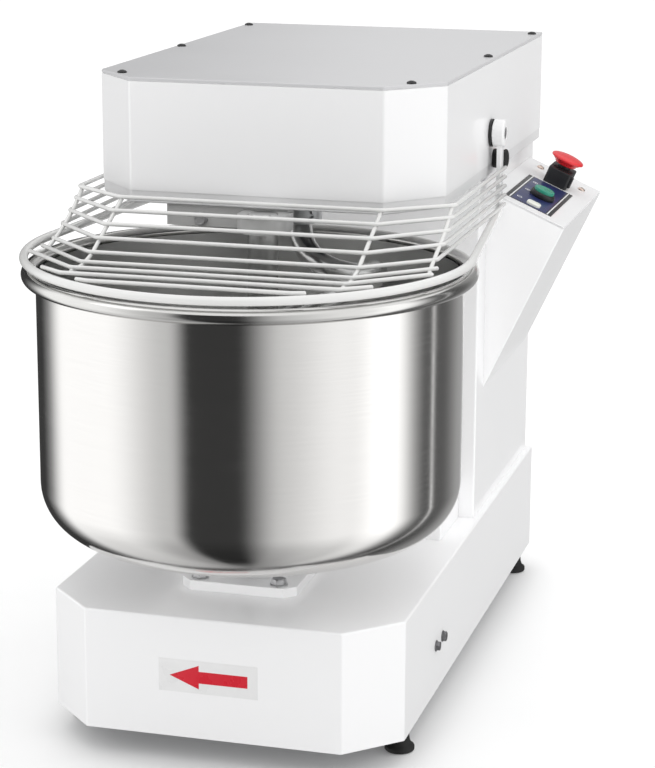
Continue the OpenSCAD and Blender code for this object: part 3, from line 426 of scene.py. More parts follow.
def sheet(node, corners, radii, levels, material, holes=(), windows=(), wall=2.0, placed=None):
    """Folded sheet: walls that follow (inset, height) levels from the open edge to a flat cap with holes.

    It replaces the CAD node. A window is (corner before the wall, 3-D loop outside, 3-D loop inside) in the
    wall of the first level.
    """
    verts, faces = [], []
    up = levels[-1][1] > levels[0][1]

    def loop(points, z=None):
        return add_ring(verts, [(p[0] * MM, p[1] * MM, (p[2] if z is None else z) * MM) for p in points])

    def add(face, outer):
        faces.append(face if outer == up else tuple(reversed(face)))

    def fill(loops, toward):
        flat = [k for q in loops for k in q]
        for t in tessellate_polygon([[Vector(verts[k]) for k in q] for q in loops]):
            a, b, c = (flat[k] for k in t)
            normal = (Vector(verts[b]) - Vector(verts[a])).cross(Vector(verts[c]) - Vector(verts[a]))
            faces.append((a, b, c) if normal.dot(Vector(toward)) > 0 else (a, c, b))

    cap = levels[-1][1]
    sides = []
    for inner in (False, True):
        rows = []
        for w, z in levels:
            if inner:
                z = min(z, cap - wall) if up else max(z, cap + wall)
            rows.append(loop(outline(corners, radii, w + (wall if inner else 0.0)), z))
        count = len(rows[0])
        openings = []
        for k, (a, b) in enumerate(zip(rows, rows[1:])):
            for i in range(count):
                j = (i + 1) % count
                cut = [q for q in windows if k == 0 and i == q[0] * (CORNER + 1) + CORNER]
                if cut:
                    hole = loop(cut[0][2 if inner else 1])
                    openings.append(hole)
                    p, q = Vector(verts[a[i]]), Vector(verts[a[j]])
                    out = (q - p).cross(Vector((0, 0, 1))) * (-1 if inner else 1)
                    fill([[a[i], a[j], b[j], b[i]], hole], out)
                else:
                    add((a[i], a[j], b[j], b[i]), not inner)
        z = cap if not inner else (cap - wall if up else cap + wall)
        caps = [loop(h, z) for h in holes]
        fill([rows[-1]] + caps, (0, 0, 1 if up != inner else -1))
        sides.append((rows[0], openings, caps))
    (rim_a, open_a, caps_a), (rim_b, open_b, caps_b) = sides
    count = len(rim_a)
    for i in range(count):
        j = (i + 1) % count
        add((rim_a[j], rim_a[i], rim_b[i], rim_b[j]), True)
    for a, b in zip(open_a + caps_a, open_b + caps_b):
        for i in range(len(a)):
            j = (i + 1) % len(a)
            faces.append((a[i], b[i], b[j], a[j]))
    ob = piece(node + "_sheet", verts, faces, material, "machine", placed=placed)
    fix_normals(ob.data)
    smooth_flats(ob)
    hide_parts(node)


def fix_normals(me):
    bm = bmesh.new()
    bm.from_mesh(me)
    bmesh.ops.recalc_face_normals(bm, faces=bm.faces)
    bm.to_mesh(me)
    bm.free()
    me.set_sharp_from_angle(angle=math.radians(38))


def smooth_flats(ob):
    """Big flat faces keep their own normal where they run into a soft bend."""
    m = ob.modifiers.new("flats", "WEIGHTED_NORMAL")
    m.keep_sharp = True
    m.weight = 100


def bend(w, z0, z1, e, n=4):
    """Levels of a wall at the inset w from z0 to z1, with a bend of radius e before the cap."""
    s = 1 if z1 > z0 else -1
    turns = [math.pi / 2 * k / n for k in range(1, n + 1)]
    curve = [(w + e * (1 - math.cos(a)), z1 - s * e * (1 - math.sin(a))) for a in turns]
    return [(w, z0), (w, z1 - s * e)] + curve


def soft_end(z, e, n):
    """(inset, height) levels of an end at the height z, softened by e."""
    turns = [math.pi / 2 * k / n for k in range(n + 1)]
    return [(e * (1 - math.sin(a)), z + e * (1 - math.cos(a))) for a in turns]


def moved(x, y, z):
    return Matrix.Translation((x * MM, y * MM, z * MM))


def turned_by(degrees, axis="Z"):
    return Matrix.Rotation(math.radians(degrees), 4, axis)


def on_panel(s, t, h, turn=0.0):
    """Placement on the control panel: s down the slope, t towards the rear, h above it."""
    return moved(WALL_X, BOX_FRONT, BOX_TOP) @ turned_by(PANEL_SLOPE, "Y") @ moved(s, t, h) @ turned_by(turn)


def facing(x, y, z, axis, turn=0.0):
    """Placement at a point with local +Z along the axis."""
    return moved(x, y, z) @ Vector(axis).to_track_quat("Z", "Y").to_matrix().to_4x4() @ turned_by(turn)


def slab(name, points, h, at, material, body, edge=0.3, n=3):
    """Flat piece with a softened upper edge, from an outline."""
    verts, rows = [], []
    pts = [Vector((*p, 0)) for p in points]
    count = len(pts)
    inward = []
    for i, p in enumerate(pts):
        a, b = (p - pts[i - 1]).normalized(), (pts[(i + 1) % count] - p).normalized()
        bis = (Vector((-a.y, a.x, 0)) + Vector((-b.y, b.x, 0))).normalized()
        inward.append(bis / max(0.3, bis.dot(Vector((-a.y, a.x, 0)))))
    levels = [(0, 0.0), (h - edge, 0.0)]
    levels += [(h - edge + edge * math.sin(math.radians(90 * k / n)),
                edge * (1 - math.cos(math.radians(90 * k / n)))) for k in range(1, n + 1)]
    for z, w in levels:
        shrunk = [((p.x + d.x * w) * MM, (p.y + d.y * w) * MM, z * MM) for p, d in zip(pts, inward)]
        rows.append(add_ring(verts, shrunk))
    faces = [tuple(reversed(rows[0])), tuple(rows[-1])]
    for a, b in zip(rows, rows[1:]):
        add_band(faces, a, b)
    return piece(name, verts, faces, material, body, 30, at)


def prism(name, corners, radii, z0, z1, e, n=3):
    """Closed white prism of the machine's body, on a rounded outline, with both ends softened by e."""
    levels = soft_end(z0, e, n)
    levels += [(w, z0 + z1 - z) for w, z in reversed(levels)]
    verts, rows = [], []
    for w, z in levels:
        rows.append(add_ring(verts, [(p.x * MM, p.y * MM, z * MM) for p in outline(corners, radii, w)]))
    faces = [tuple(reversed(rows[0])), tuple(rows[-1])]
    for a, b in zip(rows, rows[1:]):
        add_band(faces, a, b)
    ob = piece(name, verts, faces, "white_paint", "machine")
    fix_normals(ob.data)
    smooth_flats(ob)
    return ob


def rectangle(x0, y0, x1, y1):
    return [(x0, y0), (x1, y0), (x1, y1), (x0, y1)]


def rounded(w, l, r, n=6):
    """Rectangle w by l round the middle, with corners of radius r."""
    pts = []
    for cx, cy, a0 in ((1, 1, 0), (-1, 1, 90), (-1, -1, 180), (1, -1, 270)):
        for i in range(n + 1):
            a = math.radians(a0 + 90 * i / n)
            pts.append((cx * (w / 2 - r) + r * math.cos(a), cy * (l / 2 - r) + r * math.sin(a)))
    return pts


# ---- CAD nodes that keep their own mesh ------------------------------------------------------

slots = {s["node"]: s["material_slot"] for s in frame["record"]["subparts"]}
for name, ob in nodes.items():
    shade(ob, slots[name])
    smooth(ob.data, 32)

# ---- Casing ----------------------------------------------------------------------------------


def casing(w, y0, y1, cx, cy):
    """Corners of a rectangle of half width w with two chamfers in front."""
    return [(-w + cx, y0), (w - cx, y0), (w, y0 + cy), (w, y1), (-w, y1), (-w, y0 + cy)]


SHEET = 2
BASE_X, BASE_FRONT, BASE_REAR = 193.5, -141, 612
BASE_LOW, BASE_TOP = 30, 162
sheet("base_shell", casing(BASE_X, BASE_FRONT, BASE_REAR, 54, 54), [4] * 6, bend(0, BASE_LOW, BASE_TOP, 2.4),
      "white_paint", holes=[circle(0, 0, 50, 64), opening(-110, 300, 110, 580)])
sheet("drive_step", rectangle(-168, 186, 168, 279.9), [2.5, 2.5, 0.5, 0.5],
      bend(0, BASE_TOP + 0.05, 212, 1.8), "white_paint")


def pin_hole(x):
    """Round hole for the guard's pin in the hood's wall at x."""
    return [(x, y, z) for y, z in circle(PIN_Y, PIN_Z, 9)]


HOOD_X, HOOD_LOW, HOOD_TOP = 192, 579, 696
PIN_Y, PIN_Z = 303, 615
HOOD = casing(HOOD_X, 15.5, 617, 53.5, 60)
HOOD_BENDS = [5] * 6
SPIRAL_X, SPIRAL_Y = 19, 121
# the pan takes the darker white, as painted shade under the hood
sheet("head_pan", HOOD, [4.5] * 6, bend(0.8, HOOD_LOW, 566, 1.6), "pan_paint",
      holes=[circle(SPIRAL_X, SPIRAL_Y, 46, 64), circle(0, 345, 30), opening(-120, 470, 120, 570)])
sheet("hood_shell", HOOD, HOOD_BENDS,
      [(0, HOOD_LOW + 0.02), (0, 694.3), (0.25, 694.8), (0.8, 695), (1.3, 695), (1.3, HOOD_TOP - 0.02)],
      "white_paint", holes=[outline(HOOD, HOOD_BENDS, 22)],
      windows=[(2, pin_hole(HOOD_X), pin_hole(HOOD_X - SHEET)),
               (4, pin_hole(-HOOD_X), pin_hole(SHEET - HOOD_X))])
lid = slab("lid_plate", [tuple(p) for p in outline(HOOD, HOOD_BENDS)], 3.0, moved(0, 0, HOOD_TOP),
           "lid_paint", "machine", 0.9, 4)
smooth_flats(lid)
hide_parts("hood_lid")

WALL_X, WALL_FRONT, WALL_REAR = 186, 280, 597.9  # outside of the column
column = prism(
    "column_walls",
    [(-WALL_X, WALL_FRONT), (WALL_X, WALL_FRONT), (WALL_X, WALL_REAR), (WALL_X - SHEET, WALL_REAR),
     (WALL_X - SHEET, WALL_FRONT + SHEET), (SHEET - WALL_X, WALL_FRONT + SHEET), (SHEET - WALL_X, WALL_REAR),
     (-WALL_X, WALL_REAR)],
    [2.5, 2.5, 0.3, 0.3, 0.5, 0.5, 0.3, 0.3], BASE_TOP + 0.05, 565.95, 0.05, 1)
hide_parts("column_shell")
PLATE_TOP = 173
octagon = [(-52, -56), (52, -56), (64, -44), (64, 44), (52, 56), (-52, 56), (-64, 44), (-64, -44)]
plate = prism("plate_body", octagon, [1.5] * 8, BASE_TOP + 0.02, PLATE_TOP, 1.2)
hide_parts("bearing_plate")

# control box: two end walls and a sloping bottom, open towards the column, and the sloping panel on top
BOX_FRONT, BOX_REAR, BOX_LOW, BOX_TOP, BOX_OUT = 320, 580, 311.0, 546.5, 90.72
PANEL_SLOPE, PANEL_DROP = 23.6, 39.63  # degrees down towards the outside, and the drop that gives


def box_skin():
    """Outer skin of the control box: the profile swept from the front end wall to the rear one."""
    under_panel = 2.19
    a = Vector((WALL_X + 0.05, BOX_LOW + 0.1))
    b = Vector((WALL_X + BOX_OUT - 0.4, BOX_TOP - PANEL_DROP - under_panel))
    c = Vector((WALL_X + 0.05, BOX_TOP - under_panel))
    levels = soft_end(0, 1.5, 4)
    lower = (b - a).normalized()
    inward = Vector((-lower.y, lower.x))
    ends = [(w, BOX_FRONT + d) for w, d in levels] + [(w, BOX_REAR - d) for w, d in reversed(levels)]
    rows = [(y, a + inward * w, b + inward * w + Vector((-w * 0.3, 0))) for w, y in ends]
    verts, faces = [], []
    for thick in (0.0, SHEET):
        for y, p, q in rows:
            y = min(max(y, BOX_FRONT + thick), BOX_REAR - thick)
            add_ring(verts, [(v.x * MM, y * MM, v.y * MM) for v in (p + inward * thick, q + inward * thick)])
    n = len(rows)
    for start, outer in ((0, True), (2 * n, False)):
        for i in range(start, start + 2 * n - 2, 2):
            face = (i, i + 1, i + 3, i + 2)
            faces.append(face if outer else tuple(reversed(face)))
    # end walls: outer and inner triangle, and the strips along their free edges
    for row, outside, within in ((0, BOX_FRONT, BOX_FRONT + SHEET), (n - 1, BOX_REAR, BOX_REAR - SHEET)):
        outer_c, inner_c = add_ring(verts, [(c.x * MM, y * MM, c.y * MM) for y in (outside, within)])
        o, k = 2 * row, 2 * n + 2 * row
        faces += [(o, o + 1, outer_c), (k, k + 1, inner_c)]
        faces += [(o + 1, k + 1, inner_c, outer_c), (o, outer_c, inner_c, k)]
    for i in [side + 2 * k for side in (0, 1) for k in range(n - 1)]:
        faces.append((i, i + 2, i + 2 + 2 * n, i + 2 * n))
    ob = piece("control_box_sheet", verts, faces, "white_paint", "machine")
    fix_normals(ob.data)
    smooth_flats(ob)
    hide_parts("control_box")


# places on the panel: down the slope, towards the rear
START_AT, STOP_AT, LAMP_AT = (52, 86), (51, 192), (52.5, 32)
box_skin()
sheet("control_panel", rectangle(0.4, 0, 99, BOX_REAR - BOX_FRONT), [0.5, 1.5, 1.5, 0.5],
      bend(0, -2.0, 0, 0.8), "white_paint", wall=1.0, placed=on_panel(0, 0, 0),
      holes=[circle(*START_AT, 11.05), circle(*STOP_AT, 11.05), circle(*LAMP_AT, 6.5)])


def softened(node, material, edge):
    """A copy of the CAD node's mesh with bevelled edges."""
    me = nodes[node].data.copy()
    ob = bpy.data.objects.new(node + "_soft", me)
    scene.collection.objects.link(ob)
    bm = bmesh.new()
    bm.from_mesh(me)
    bmesh.ops.remove_doubles(bm, verts=bm.verts, dist=2e-6)
    bmesh.ops.dissolve_limit(bm, angle_limit=math.radians(0.6), verts=bm.verts, edges=bm.edges)
    bm.to_mesh(me)
    bm.free()
    shade(ob, material)
    bevel = ob.modifiers.new("edge", "BEVEL")
    bevel.width = edge * MM
    bevel.segments = 3
    bevel.angle_limit = math.radians(40)
    smooth(me, 50)
    smooth_flats(ob)
    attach(ob, "machine")
    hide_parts(node)


# the bracket's mid grey is painted shade
softened("breaker_bracket", "bracket_paint", 0.9)
softened("rear_cover", "white_paint", 0.35)

# ---- Bowl --------------------------------------------------------------------------------------

BOWL_R, BOWL_BEND, BOWL_LOW, RIM_Z, STEEL = 225.0, 57.0, 223.5, 504.0, 2.0
BEND_TOP, WALL_STEPS = BOWL_LOW + BOWL_BEND, 12
flat_r = BOWL_R - BOWL_BEND
outer = [(0.0, BOWL_LOW), (62.0, BOWL_LOW), (120.0, BOWL_LOW)] + arc(flat_r, BEND_TOP, BOWL_BEND, -90, 0, 24)
outer += [(BOWL_R, BEND_TOP + k * (RIM_Z - 3 - BEND_TOP) / WALL_STEPS) for k in range(1, WALL_STEPS + 1)]
bead = arc(BOWL_R + 7.0, RIM_Z, 8.0, 215, -137, 34)
inner = [(BOWL_R - STEEL, RIM_Z - 2 - k * (RIM_Z - 2 - BEND_TOP) / WALL_STEPS) for k in range(WALL_STEPS)]
inner += arc(flat_r, BEND_TOP, BOWL_BEND - STEEL, 0, -90, 24)
inner += [(r, BOWL_LOW + STEEL) for r in (120.0, 60.0, 0.0)]
bowl = turned("bowl_outside", outer, "bowl_steel", "bowl_unit", segs=256)
turned("bowl_inside", inner, "bowl_inside", "bowl_unit", segs=256)
turned("bowl_rim", bead, "rim_steel", "bowl_unit", segs=256)
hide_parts("bowl")

# ---- Spiral hook and breaker bar ---------------------------------------------------------------

HOOK_R, HOOK_BAR = 83.0, 13.0  # radius of the spiral and of its bar
HOOK_START, SWEEP, TURN, FOOT = -62.0, 75.0, 350.0, 55.0  # degrees: start, way out, spiral, way in
HUB_Z, OUT_Z, LOW_Z, END_Z, END_R = 536.0, 480.0, 282.0, 247.0, 62.0


def spot(r, degrees, z):
    a = math.radians(degrees)
    return (SPIRAL_X + r * math.cos(a), SPIRAL_Y + r * math.sin(a), z)


route = []  # radius, degrees, height
for t in [k / 24 for k in range(24)]:
    fall = (HUB_Z - OUT_Z) * math.sin(math.pi / 2 * t)
    route.append((HOOK_R * ease(t), HOOK_START + SWEEP * t * t, HUB_Z - fall))
for t in [k / 120 for k in range(120)]:
    sag = t + 0.1 * math.sin(math.pi * t) * (1 - t)
    route.append((HOOK_R, HOOK_START + SWEEP + TURN * t, OUT_Z - (OUT_Z - LOW_Z) * sag))
for t in [k / 30 for k in range(31)]:
    route.append((HOOK_R + (END_R - HOOK_R) * ease(t), HOOK_START + SWEEP + TURN + FOOT * t,
                  LOW_Z - (LOW_Z - END_Z) * math.sin(math.pi / 2 * t)))
aside = []
for a in [math.radians(degrees) for r, degrees, z in route]:
    aside.append((-math.cos(a) - math.sin(a), -math.sin(a) + math.cos(a), 1))
size = [1.0] * len(route)
for k in range(5):
    size[-1 - k] = math.sqrt(1 - (1 - (k + 0.35) / 5.4) ** 2)
hook = tube("hook_bar", [spot(*p) for p in route], HOOK_BAR, "stainless", "spiral_unit", aside,
            sides=40, size=size)
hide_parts("spiral_hook")
ROD_R = 15.98
rod = [(0.0, 236.0)] + arc(0, 252, ROD_R, -80, 0, 12)
rod += [(ROD_R, 300), (ROD_R, 400), (ROD_R, 562.5), (14.6, 564), (0, 564)]
bar = turned("breaker_rod", rod, "stainless", "machine", moved(13, 2, 0))
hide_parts("breaker_bar")

# ---- Guard -------------------------------------------------------------------------------------

SIDE_X, FRONT_X, WIRE_R = 208.5, 143.5, 2.2  # half widths of the wires' side and front runs
RING_R, RING_Y, RING_Z, RING_BAR = 235.0, -4.0, 523.0, 4.5
RING_TILT, RING_TURN = math.radians(0.5), math.radians(6.2)  # rise to the rear; turn past the half circle
UNDER = 2 * WIRE_R - 1  # how far the posts lie below or inside the wires


def front_y(i):
    return -6 - 22.6 * i


def corner_y(i):
    return 46 - 10 * i - 2.5 * i * i


def wire_z(i):
    return 575 - 10.6 * i


def on_ring(x, y, up=0.0):
    """A point of a wire that lies on the ring."""
    return (x, y, RING_Z + y * math.tan(RING_TILT) + RING_BAR + 0.5 + up)


def wire_end(degrees):
    """Where a wire meets the ring, at an angle in front of its middle."""
    if degrees > -15:
        return on_ring(SIDE_X + 4, -53)
    a = math.radians(degrees)
    return on_ring((RING_R - 6.5) * math.cos(a), RING_Y + (RING_R - 6.5) * math.sin(a))


def wire(name, points, r=8, n=7, aside=(0, 0, 1)):
    # the wires take the white paint darkened to grey, as painted shade
    return tube(name, bent(points, r, n), WIRE_R, "wire_paint", "guard", aside)


end_y = PIN_Y - 8 - RING_BAR * math.sin(RING_TURN) - 0.3
turn_x, turn_y = RING_R * math.cos(RING_TURN), RING_R * math.sin(RING_TURN) + RING_Y
end_x = turn_x - (end_y - turn_y) * math.tan(RING_TURN)
straight = [(end_x + (turn_x - end_x) * k / 8, end_y + (turn_y - end_y) * k / 8) for k in range(8)]
turns = [-math.pi - RING_TURN + (math.pi + 2 * RING_TURN) * i / 160 for i in range(161)]
ring_path = [(-x, y) for x, y in straight]
ring_path += [(RING_R * math.cos(a), RING_R * math.sin(a) + RING_Y) for a in turns]
ring_path += reversed(straight)
tilted = [(x, y * math.cos(RING_TILT), RING_Z + y * math.sin(RING_TILT)) for x, y in ring_path]
hoop = tube("guard_hoop", tilted, RING_BAR, "wire_paint", "guard", sides=32, cap=False)
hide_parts("guard_ring")

for i in range(5):
    z = wire_z(i)
    half = [(SIDE_X, PIN_Y + 7, z), (SIDE_X, corner_y(i), z), (FRONT_X, front_y(i), z)]
    wire("guard_bend_%d" % (i + 1), [(-x, y, z) for x, y, z in half] + half[::-1])
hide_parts("guard_wires")
# wires on the ring: x and y of the bend, and the angle on the ring where the wire ends
ON_RING = [(FRONT_X, -120, -12.6), (FRONT_X, -149, -20.3), (FRONT_X, -176, -41.5), (104, -204.5, -59.3)]
for k, (x, y, degrees) in enumerate(ON_RING):
    half = [wire_end(degrees), on_ring(x, y)]
    wire("guard_flat_%d" % (k + 1), [(-x, y, z) for x, y, z in half] + half[::-1])
slope = math.atan2(wire_z(0) - wire_z(4), front_y(0) - front_y(4))
back, down = UNDER * math.sin(slope), -UNDER * math.cos(slope)
for s, side in ((1, "right"), (-1, "left")):
    post_x = s * (FRONT_X - 2)
    corners = [
        (post_x, front_y(0) + 2 + back, wire_z(0) + 1 + down),
        (post_x, front_y(4) + back, wire_z(4) + down),
        on_ring(post_x, ON_RING[0][1], -UNDER),
        on_ring(post_x, ON_RING[1][1] - 3, -UNDER),
    ]
    wire("guard_front_post_" + side, corners, 6, aside=(1, 0, 0))
    corners = [(s * (SIDE_X - UNDER), corner_y(i) + (3 if i == 0 else 0), wire_z(i)) for i in range(5)]
    corners.append(on_ring(s * (SIDE_X - UNDER + 1), -57, -UNDER + 0.5))
    corners.append(on_ring(s * (SIDE_X + 1), -76, -UNDER + 1))
    wire("guard_side_post_" + side, corners, 3, 4, (1, 0.2, 0))

# arms: flat bar with a softened edge, a round boss and its socket screw
BOSS_X, SOCKET = 195.5, 1.0
socket = hexed(2.9)
for s, side in ((1, "right"), (-1, "left")):
    sideways = (s, 0, 0)
    slab("guard_strap_" + side, rounded(16, 96, 1.2), 4.9, facing(s * 201.02, PIN_Y, 567, sideways),
         "white_paint", "guard", 0.8)
    boss = turned(
        "guard_boss_" + side,
        [(0, 0), (13.0, 0), (14.6, 0.4), (15.5, 1.4), (15.5, 11.6), (15.1, 12.9), (14.2, 13.7), (13.0, 14.0),
         (7.6, 14.0), (7.2, 13.6), (7.2, 11.8), (0, 11.8)],
        "white_paint", "guard", facing(s * BOSS_X, PIN_Y, PIN_Z, sideways))
    turned(
        "guard_screw_" + side,
        [(0, 0), (6.6, 0), (6.6, 2.6), (6.2, 3.2), (5.6, 3.4), (SOCKET, 3.4), (SOCKET, 0.6), (0, 0.6)],
        "zinc_steel", "guard", facing(s * (BOSS_X + 10.4), PIN_Y, PIN_Z, sideways),
        shape=lambda a, r: socket(a) if r == SOCKET else r, sharp=30)
    turned(
        "guard_pin_" + side,
        [(0, 0), (11.4, 0), (12, 0.6), (12, 7.2), (11.4, 7.8), (6, 7.8), (6, 24), (0, 24)],
        "bare_steel", "guard", facing(s * (HOOD_X - 20), PIN_Y, PIN_Z, sideways), 64)
    rubber = turned(
        "guard_stop_" + side,
        [(0, 0), (10.4, 0), (11, 0.7), (11, 10), (10.2, 11.2), (10.2, 12.4), (11, 13.4), (11, 14.4),
         (10.3, 15.6), (8.6, 16.5), (4.4, 16.5), (4.0, 15.9), (0, 15.9)],
        "rubber_black", "machine", facing(s * HOOD_X, PIN_Y + 19.4, 583, sideways), 64)
    bush = turned(
        "guard_bush_" + side,
        [(6.05, -12), (12.6, -12), (13, -11.6), (13, -2.2), (8.95, -2.2), (8.95, 0.02), (15.2, 0.02),
         (15.8, 0.5), (15.8, 2.5), (15.3, 3.1), (6.05, 3.1)],
        "black_plastic", "machine", facing(s * HOOD_X, PIN_Y, PIN_Z, sideways))
    if s > 0:
        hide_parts("guard_arms")
        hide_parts("guard_stops")
        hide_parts("guard_bushes")

# ---- Fasteners ---------------------------------------------------------------------------------

HEXED, TRIMMED = 1000.0, 1001.0  # radii that stand for a hexagon in a screw's profile


def dome_screw(name, at, r, material):
    """Domed head of radius r with a hexagon socket."""
    socket = hexed(r * 0.42)
    profile = [(0, 0.02), (r * 0.93, 0.02), (r, r * 0.08), (r, r * 0.16)]
    for a in (math.radians(20), math.radians(40), math.radians(58)):
        profile.append((r * math.cos(a), r * (0.16 + 0.42 * math.sin(a))))
    profile += [(HEXED, r * 0.56), (HEXED, r * 0.18), (0, r * 0.18)]
    return turned(name, profile, material, "machine", at, 72,
                  lambda a, q: socket(a) if q == HEXED else q, 32)


def hex_bolt(name, at, m, material="zinc_steel"):
    """Hexagon head of an M-m bolt on a washer."""
    flat = hexed(m * 0.8)
    t = m * 0.2
    profile = [(0, 0.02), (m, 0.02), (m * 1.05, 0.25), (m * 1.05, t - 0.25), (m, t), (m * 0.86, t),
               (HEXED, t + 0.05), (HEXED, t + m * 0.52), (TRIMMED, t + m * 0.62),
               (m * 0.60, t + m * 0.62), (m * 0.56, t + m * 0.59), (0, t + m * 0.59)]

    def shape(a, r):
        if r == HEXED:
            return flat(a)
        return min(flat(a), m * 0.79) if r == TRIMMED else r

    return turned(name, profile, material, "machine", at, 72, shape, 30)


UP, BACK, RIGHT, FORWARD = (0, 0, 1), (0, 1, 0), (1, 0, 0), (0, -1, 0)
LID_PLACES = [(s * x, y) for s in (-1, 1) for x, y in ((159, 51), (184, 319), (184, 584))]
screws = [dome_screw("lid_screw_%d" % k, facing(x, y, HOOD_TOP + 3, UP, 13 * k), 5.2, "black_screws")
          for k, (x, y) in enumerate(LID_PLACES)]
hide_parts("lid_screws")
COVER_PLACES = [(s * 172, z) for s in (-1, 1) for z in (184, 364, 544)]
screws = [dome_screw("cover_screw_%d" % k, facing(x, 600, z, BACK, 17 * k), 5.0, "zinc_steel")
          for k, (x, z) in enumerate(COVER_PLACES)]
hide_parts("rear_cover_screws")
screws = [dome_screw("panel_screw_%d" % k, on_panel(s, t, 0, 20 * k), 4.6, "copper_screws")
          for k, (s, t) in enumerate(((21.5, 229), (80, 219)))]
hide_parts("panel_screws")
PLATE_PLACES = [(44 * x, 44 * y) for x in (-1, 1) for y in (-1, 1)]
bolts = [hex_bolt("plate_bolt_%d" % k, facing(x, y, PLATE_TOP, UP, 11 + 23 * k), 9)
         for k, (x, y) in enumerate(PLATE_PLACES)]
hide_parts("bearing_plate_bolts")
bolts = [hex_bolt("side_bolt_%d" % k, facing(BASE_X, y, 84, RIGHT, turn), 6, "dark_steel")
         for k, (y, turn) in enumerate(((56, 8), (88, 37)))]
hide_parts("frame_bolts")
hex_bolt("bracket_bolt_0", facing(-62, 22, 550.5, FORWARD, 14), 7)
for k, x in enumerate((-70, 14)):
    hex_bolt("bracket_bolt_%d" % (k + 1), facing(x, 33, HOOD_LOW, UP, 9 * k), 7)

# ---- Feet --------------------------------------------------------------------------------------

FOOT_PROFILE = [
    (0, 0), (12.5, 0), (13.0, 0.6), (14.2, 0.6), (15.2, 0.9), (16, 1.9), (16, 5.2), (15.4, 6.4), (13.6, 7.6),
    (12.0, 9.6), (11.0, 12.5), (10.4, 17), (10.1, 22), (10.4, 24.5), (11.6, 26), (12, 27.0), (12, BASE_LOW),
    (0, BASE_LOW),
]
FOOT_PLACES = [(s * 177.5, y) for s in (-1, 1) for y in (-42, 577)]
feet = [turned("foot_%d" % k, FOOT_PROFILE, "rubber_black", "machine", moved(x, y, 0))
        for k, (x, y) in enumerate(FOOT_PLACES)]
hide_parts("feet")

# ---- Controls ----------------------------------------------------------------------------------

on_face = on_panel(0, 0, 0)


def printed(name, points, h, material, edge=0.1):
    """A printed field of the panel's label."""
    return slab(name, points, h, on_face, material, "machine", edge)


label = printed("label_field", rectangle(19, 18, 78, 167), 0.45, "label_black", 0.15)
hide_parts("panel_label")
printed("label_blue_field", rectangle(26.5, 19, 70.5, 166), 0.55, "label_blue")
for k, s in enumerate((23.6, 71.9)):
    printed("label_stripe_%d" % k, rectangle(s, 18.6, s + 1.5, 166.4), 0.6, "label_white")
# generic signs: a ring, and a bar in the second and third one
for k, t in enumerate((39, 89, 139)):
    turned("label_mark_%d" % k, [(2.3, 0.5), (3.3, 0.5), (3.3, 0.72), (2.3, 0.72), (2.3, 0.5)], "label_white",
           "machine", on_panel(33, t, 0), 48)
    if k:
        printed("label_bar_%d" % k, rectangle(32.5, t - 1.4, 33.5, t + 1.4), 0.75, "label_white")
bezel = turned(
    "start_ring",
    [(12.6, 0.5), (15, 0.5), (15.2, 0.8), (15.2, 4.6), (14.8, 6.0), (14.2, 7.0), (13.4, 7.4), (12.9, 7.2),
     (12.8, 6.6), (12.8, 2.2), (0, 2.2)],
    "black_plastic", "machine", on_panel(*START_AT, 0))
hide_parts("start_bezel")
button = turned(
    "start_cap",
    [(0, -6), (9, -6), (9, 7), (12.0, 7), (12.4, 7.4), (12.4, 9.9), (12.1, 10.7), (11.4, 11.1), (10.4, 11.15),
     (6, 10.85), (0, 10.7)],
    "green_plastic", "start_key", on_panel(*START_AT, 0))
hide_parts("start_button")
lens = slab("lamp_cap", rounded(17, 16, 5), 2.9, on_panel(*LAMP_AT, 0.5), "lens_white", "machine",
            1.3, 5)
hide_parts("lamp_lens")
block = slab("stop_block", rounded(30, 40, 3), 20.5, on_panel(*STOP_AT, 0), "black_plastic", "machine",
             1.4, 4)
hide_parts("stop_housing")
slab("stop_tab", rounded(5.0, 9, 0.8), 13.0, on_panel(STOP_AT[0] + 15.6, STOP_AT[1] - 12.5, 4),
     "black_plastic", "machine", 0.8)
turned("stop_collar", [(8.05, 20.4), (14.0, 20.4), (14.2, 20.6), (14.2, 21.2), (13.8, 21.5), (8.05, 21.5)],
       "black_plastic", "machine", on_panel(*STOP_AT, 0))
CAP_Z = 25.4  # underside of the mushroom, above the panel
CAP = [
    (8.05, 0), (12.3, 0), (12.9, 0.2), (13.5, 0.7), (13.9, 1.8), (14.2, 2.9), (15.2, 3.5), (16.4, 3.9),
    (17.0, 4.7), (17.6, 5.5), (19.0, 6.0), (20.1, 6.5), (20.5, 7.3), (20.5, 8.0), (20.0, 8.8), (18.4, 9.6),
    (15.6, 10.4), (11.0, 11.2), (6.0, 11.7), (0, 11.9),
]
mushroom = turned("stop_cap", [(r, CAP_Z + z) for r, z in CAP], "red_plastic", "stop_head",
                  on_panel(*STOP_AT, 0), 128, None, 50)
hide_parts("stop_button")

# ---- Arrow on the base -------------------------------------------------------------------------

on_base = moved(0, BASE_FRONT, 98) @ turned_by(90, "X")
backing = slab("arrow_back", rectangle(-58, -18, 50, 18), 0.16, on_base, "arrow_plate", "machine",
               0.06)
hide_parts("direction_arrow")
arrow = [(-46, 0), (-14, -13), (-14, -6.5), (39, -6.5), (39, 6.5), (-14, 6.5), (-14, 13)]
slab("arrow_sign", arrow, 0.3, on_base, "arrow_red", "machine", 0.08)

# ---- Stage and light, in metres ----------------------------------------------------------------


def stage_mesh(name, verts, faces, material):
    me = bpy.data.meshes.new(name)
    me.from_pydata(verts, [], faces)
    me.transform(HOME)
    me.materials.append(material)
    ob = bpy.data.objects.new(name, me)
    scene.collection.objects.link(ob)
    return ob


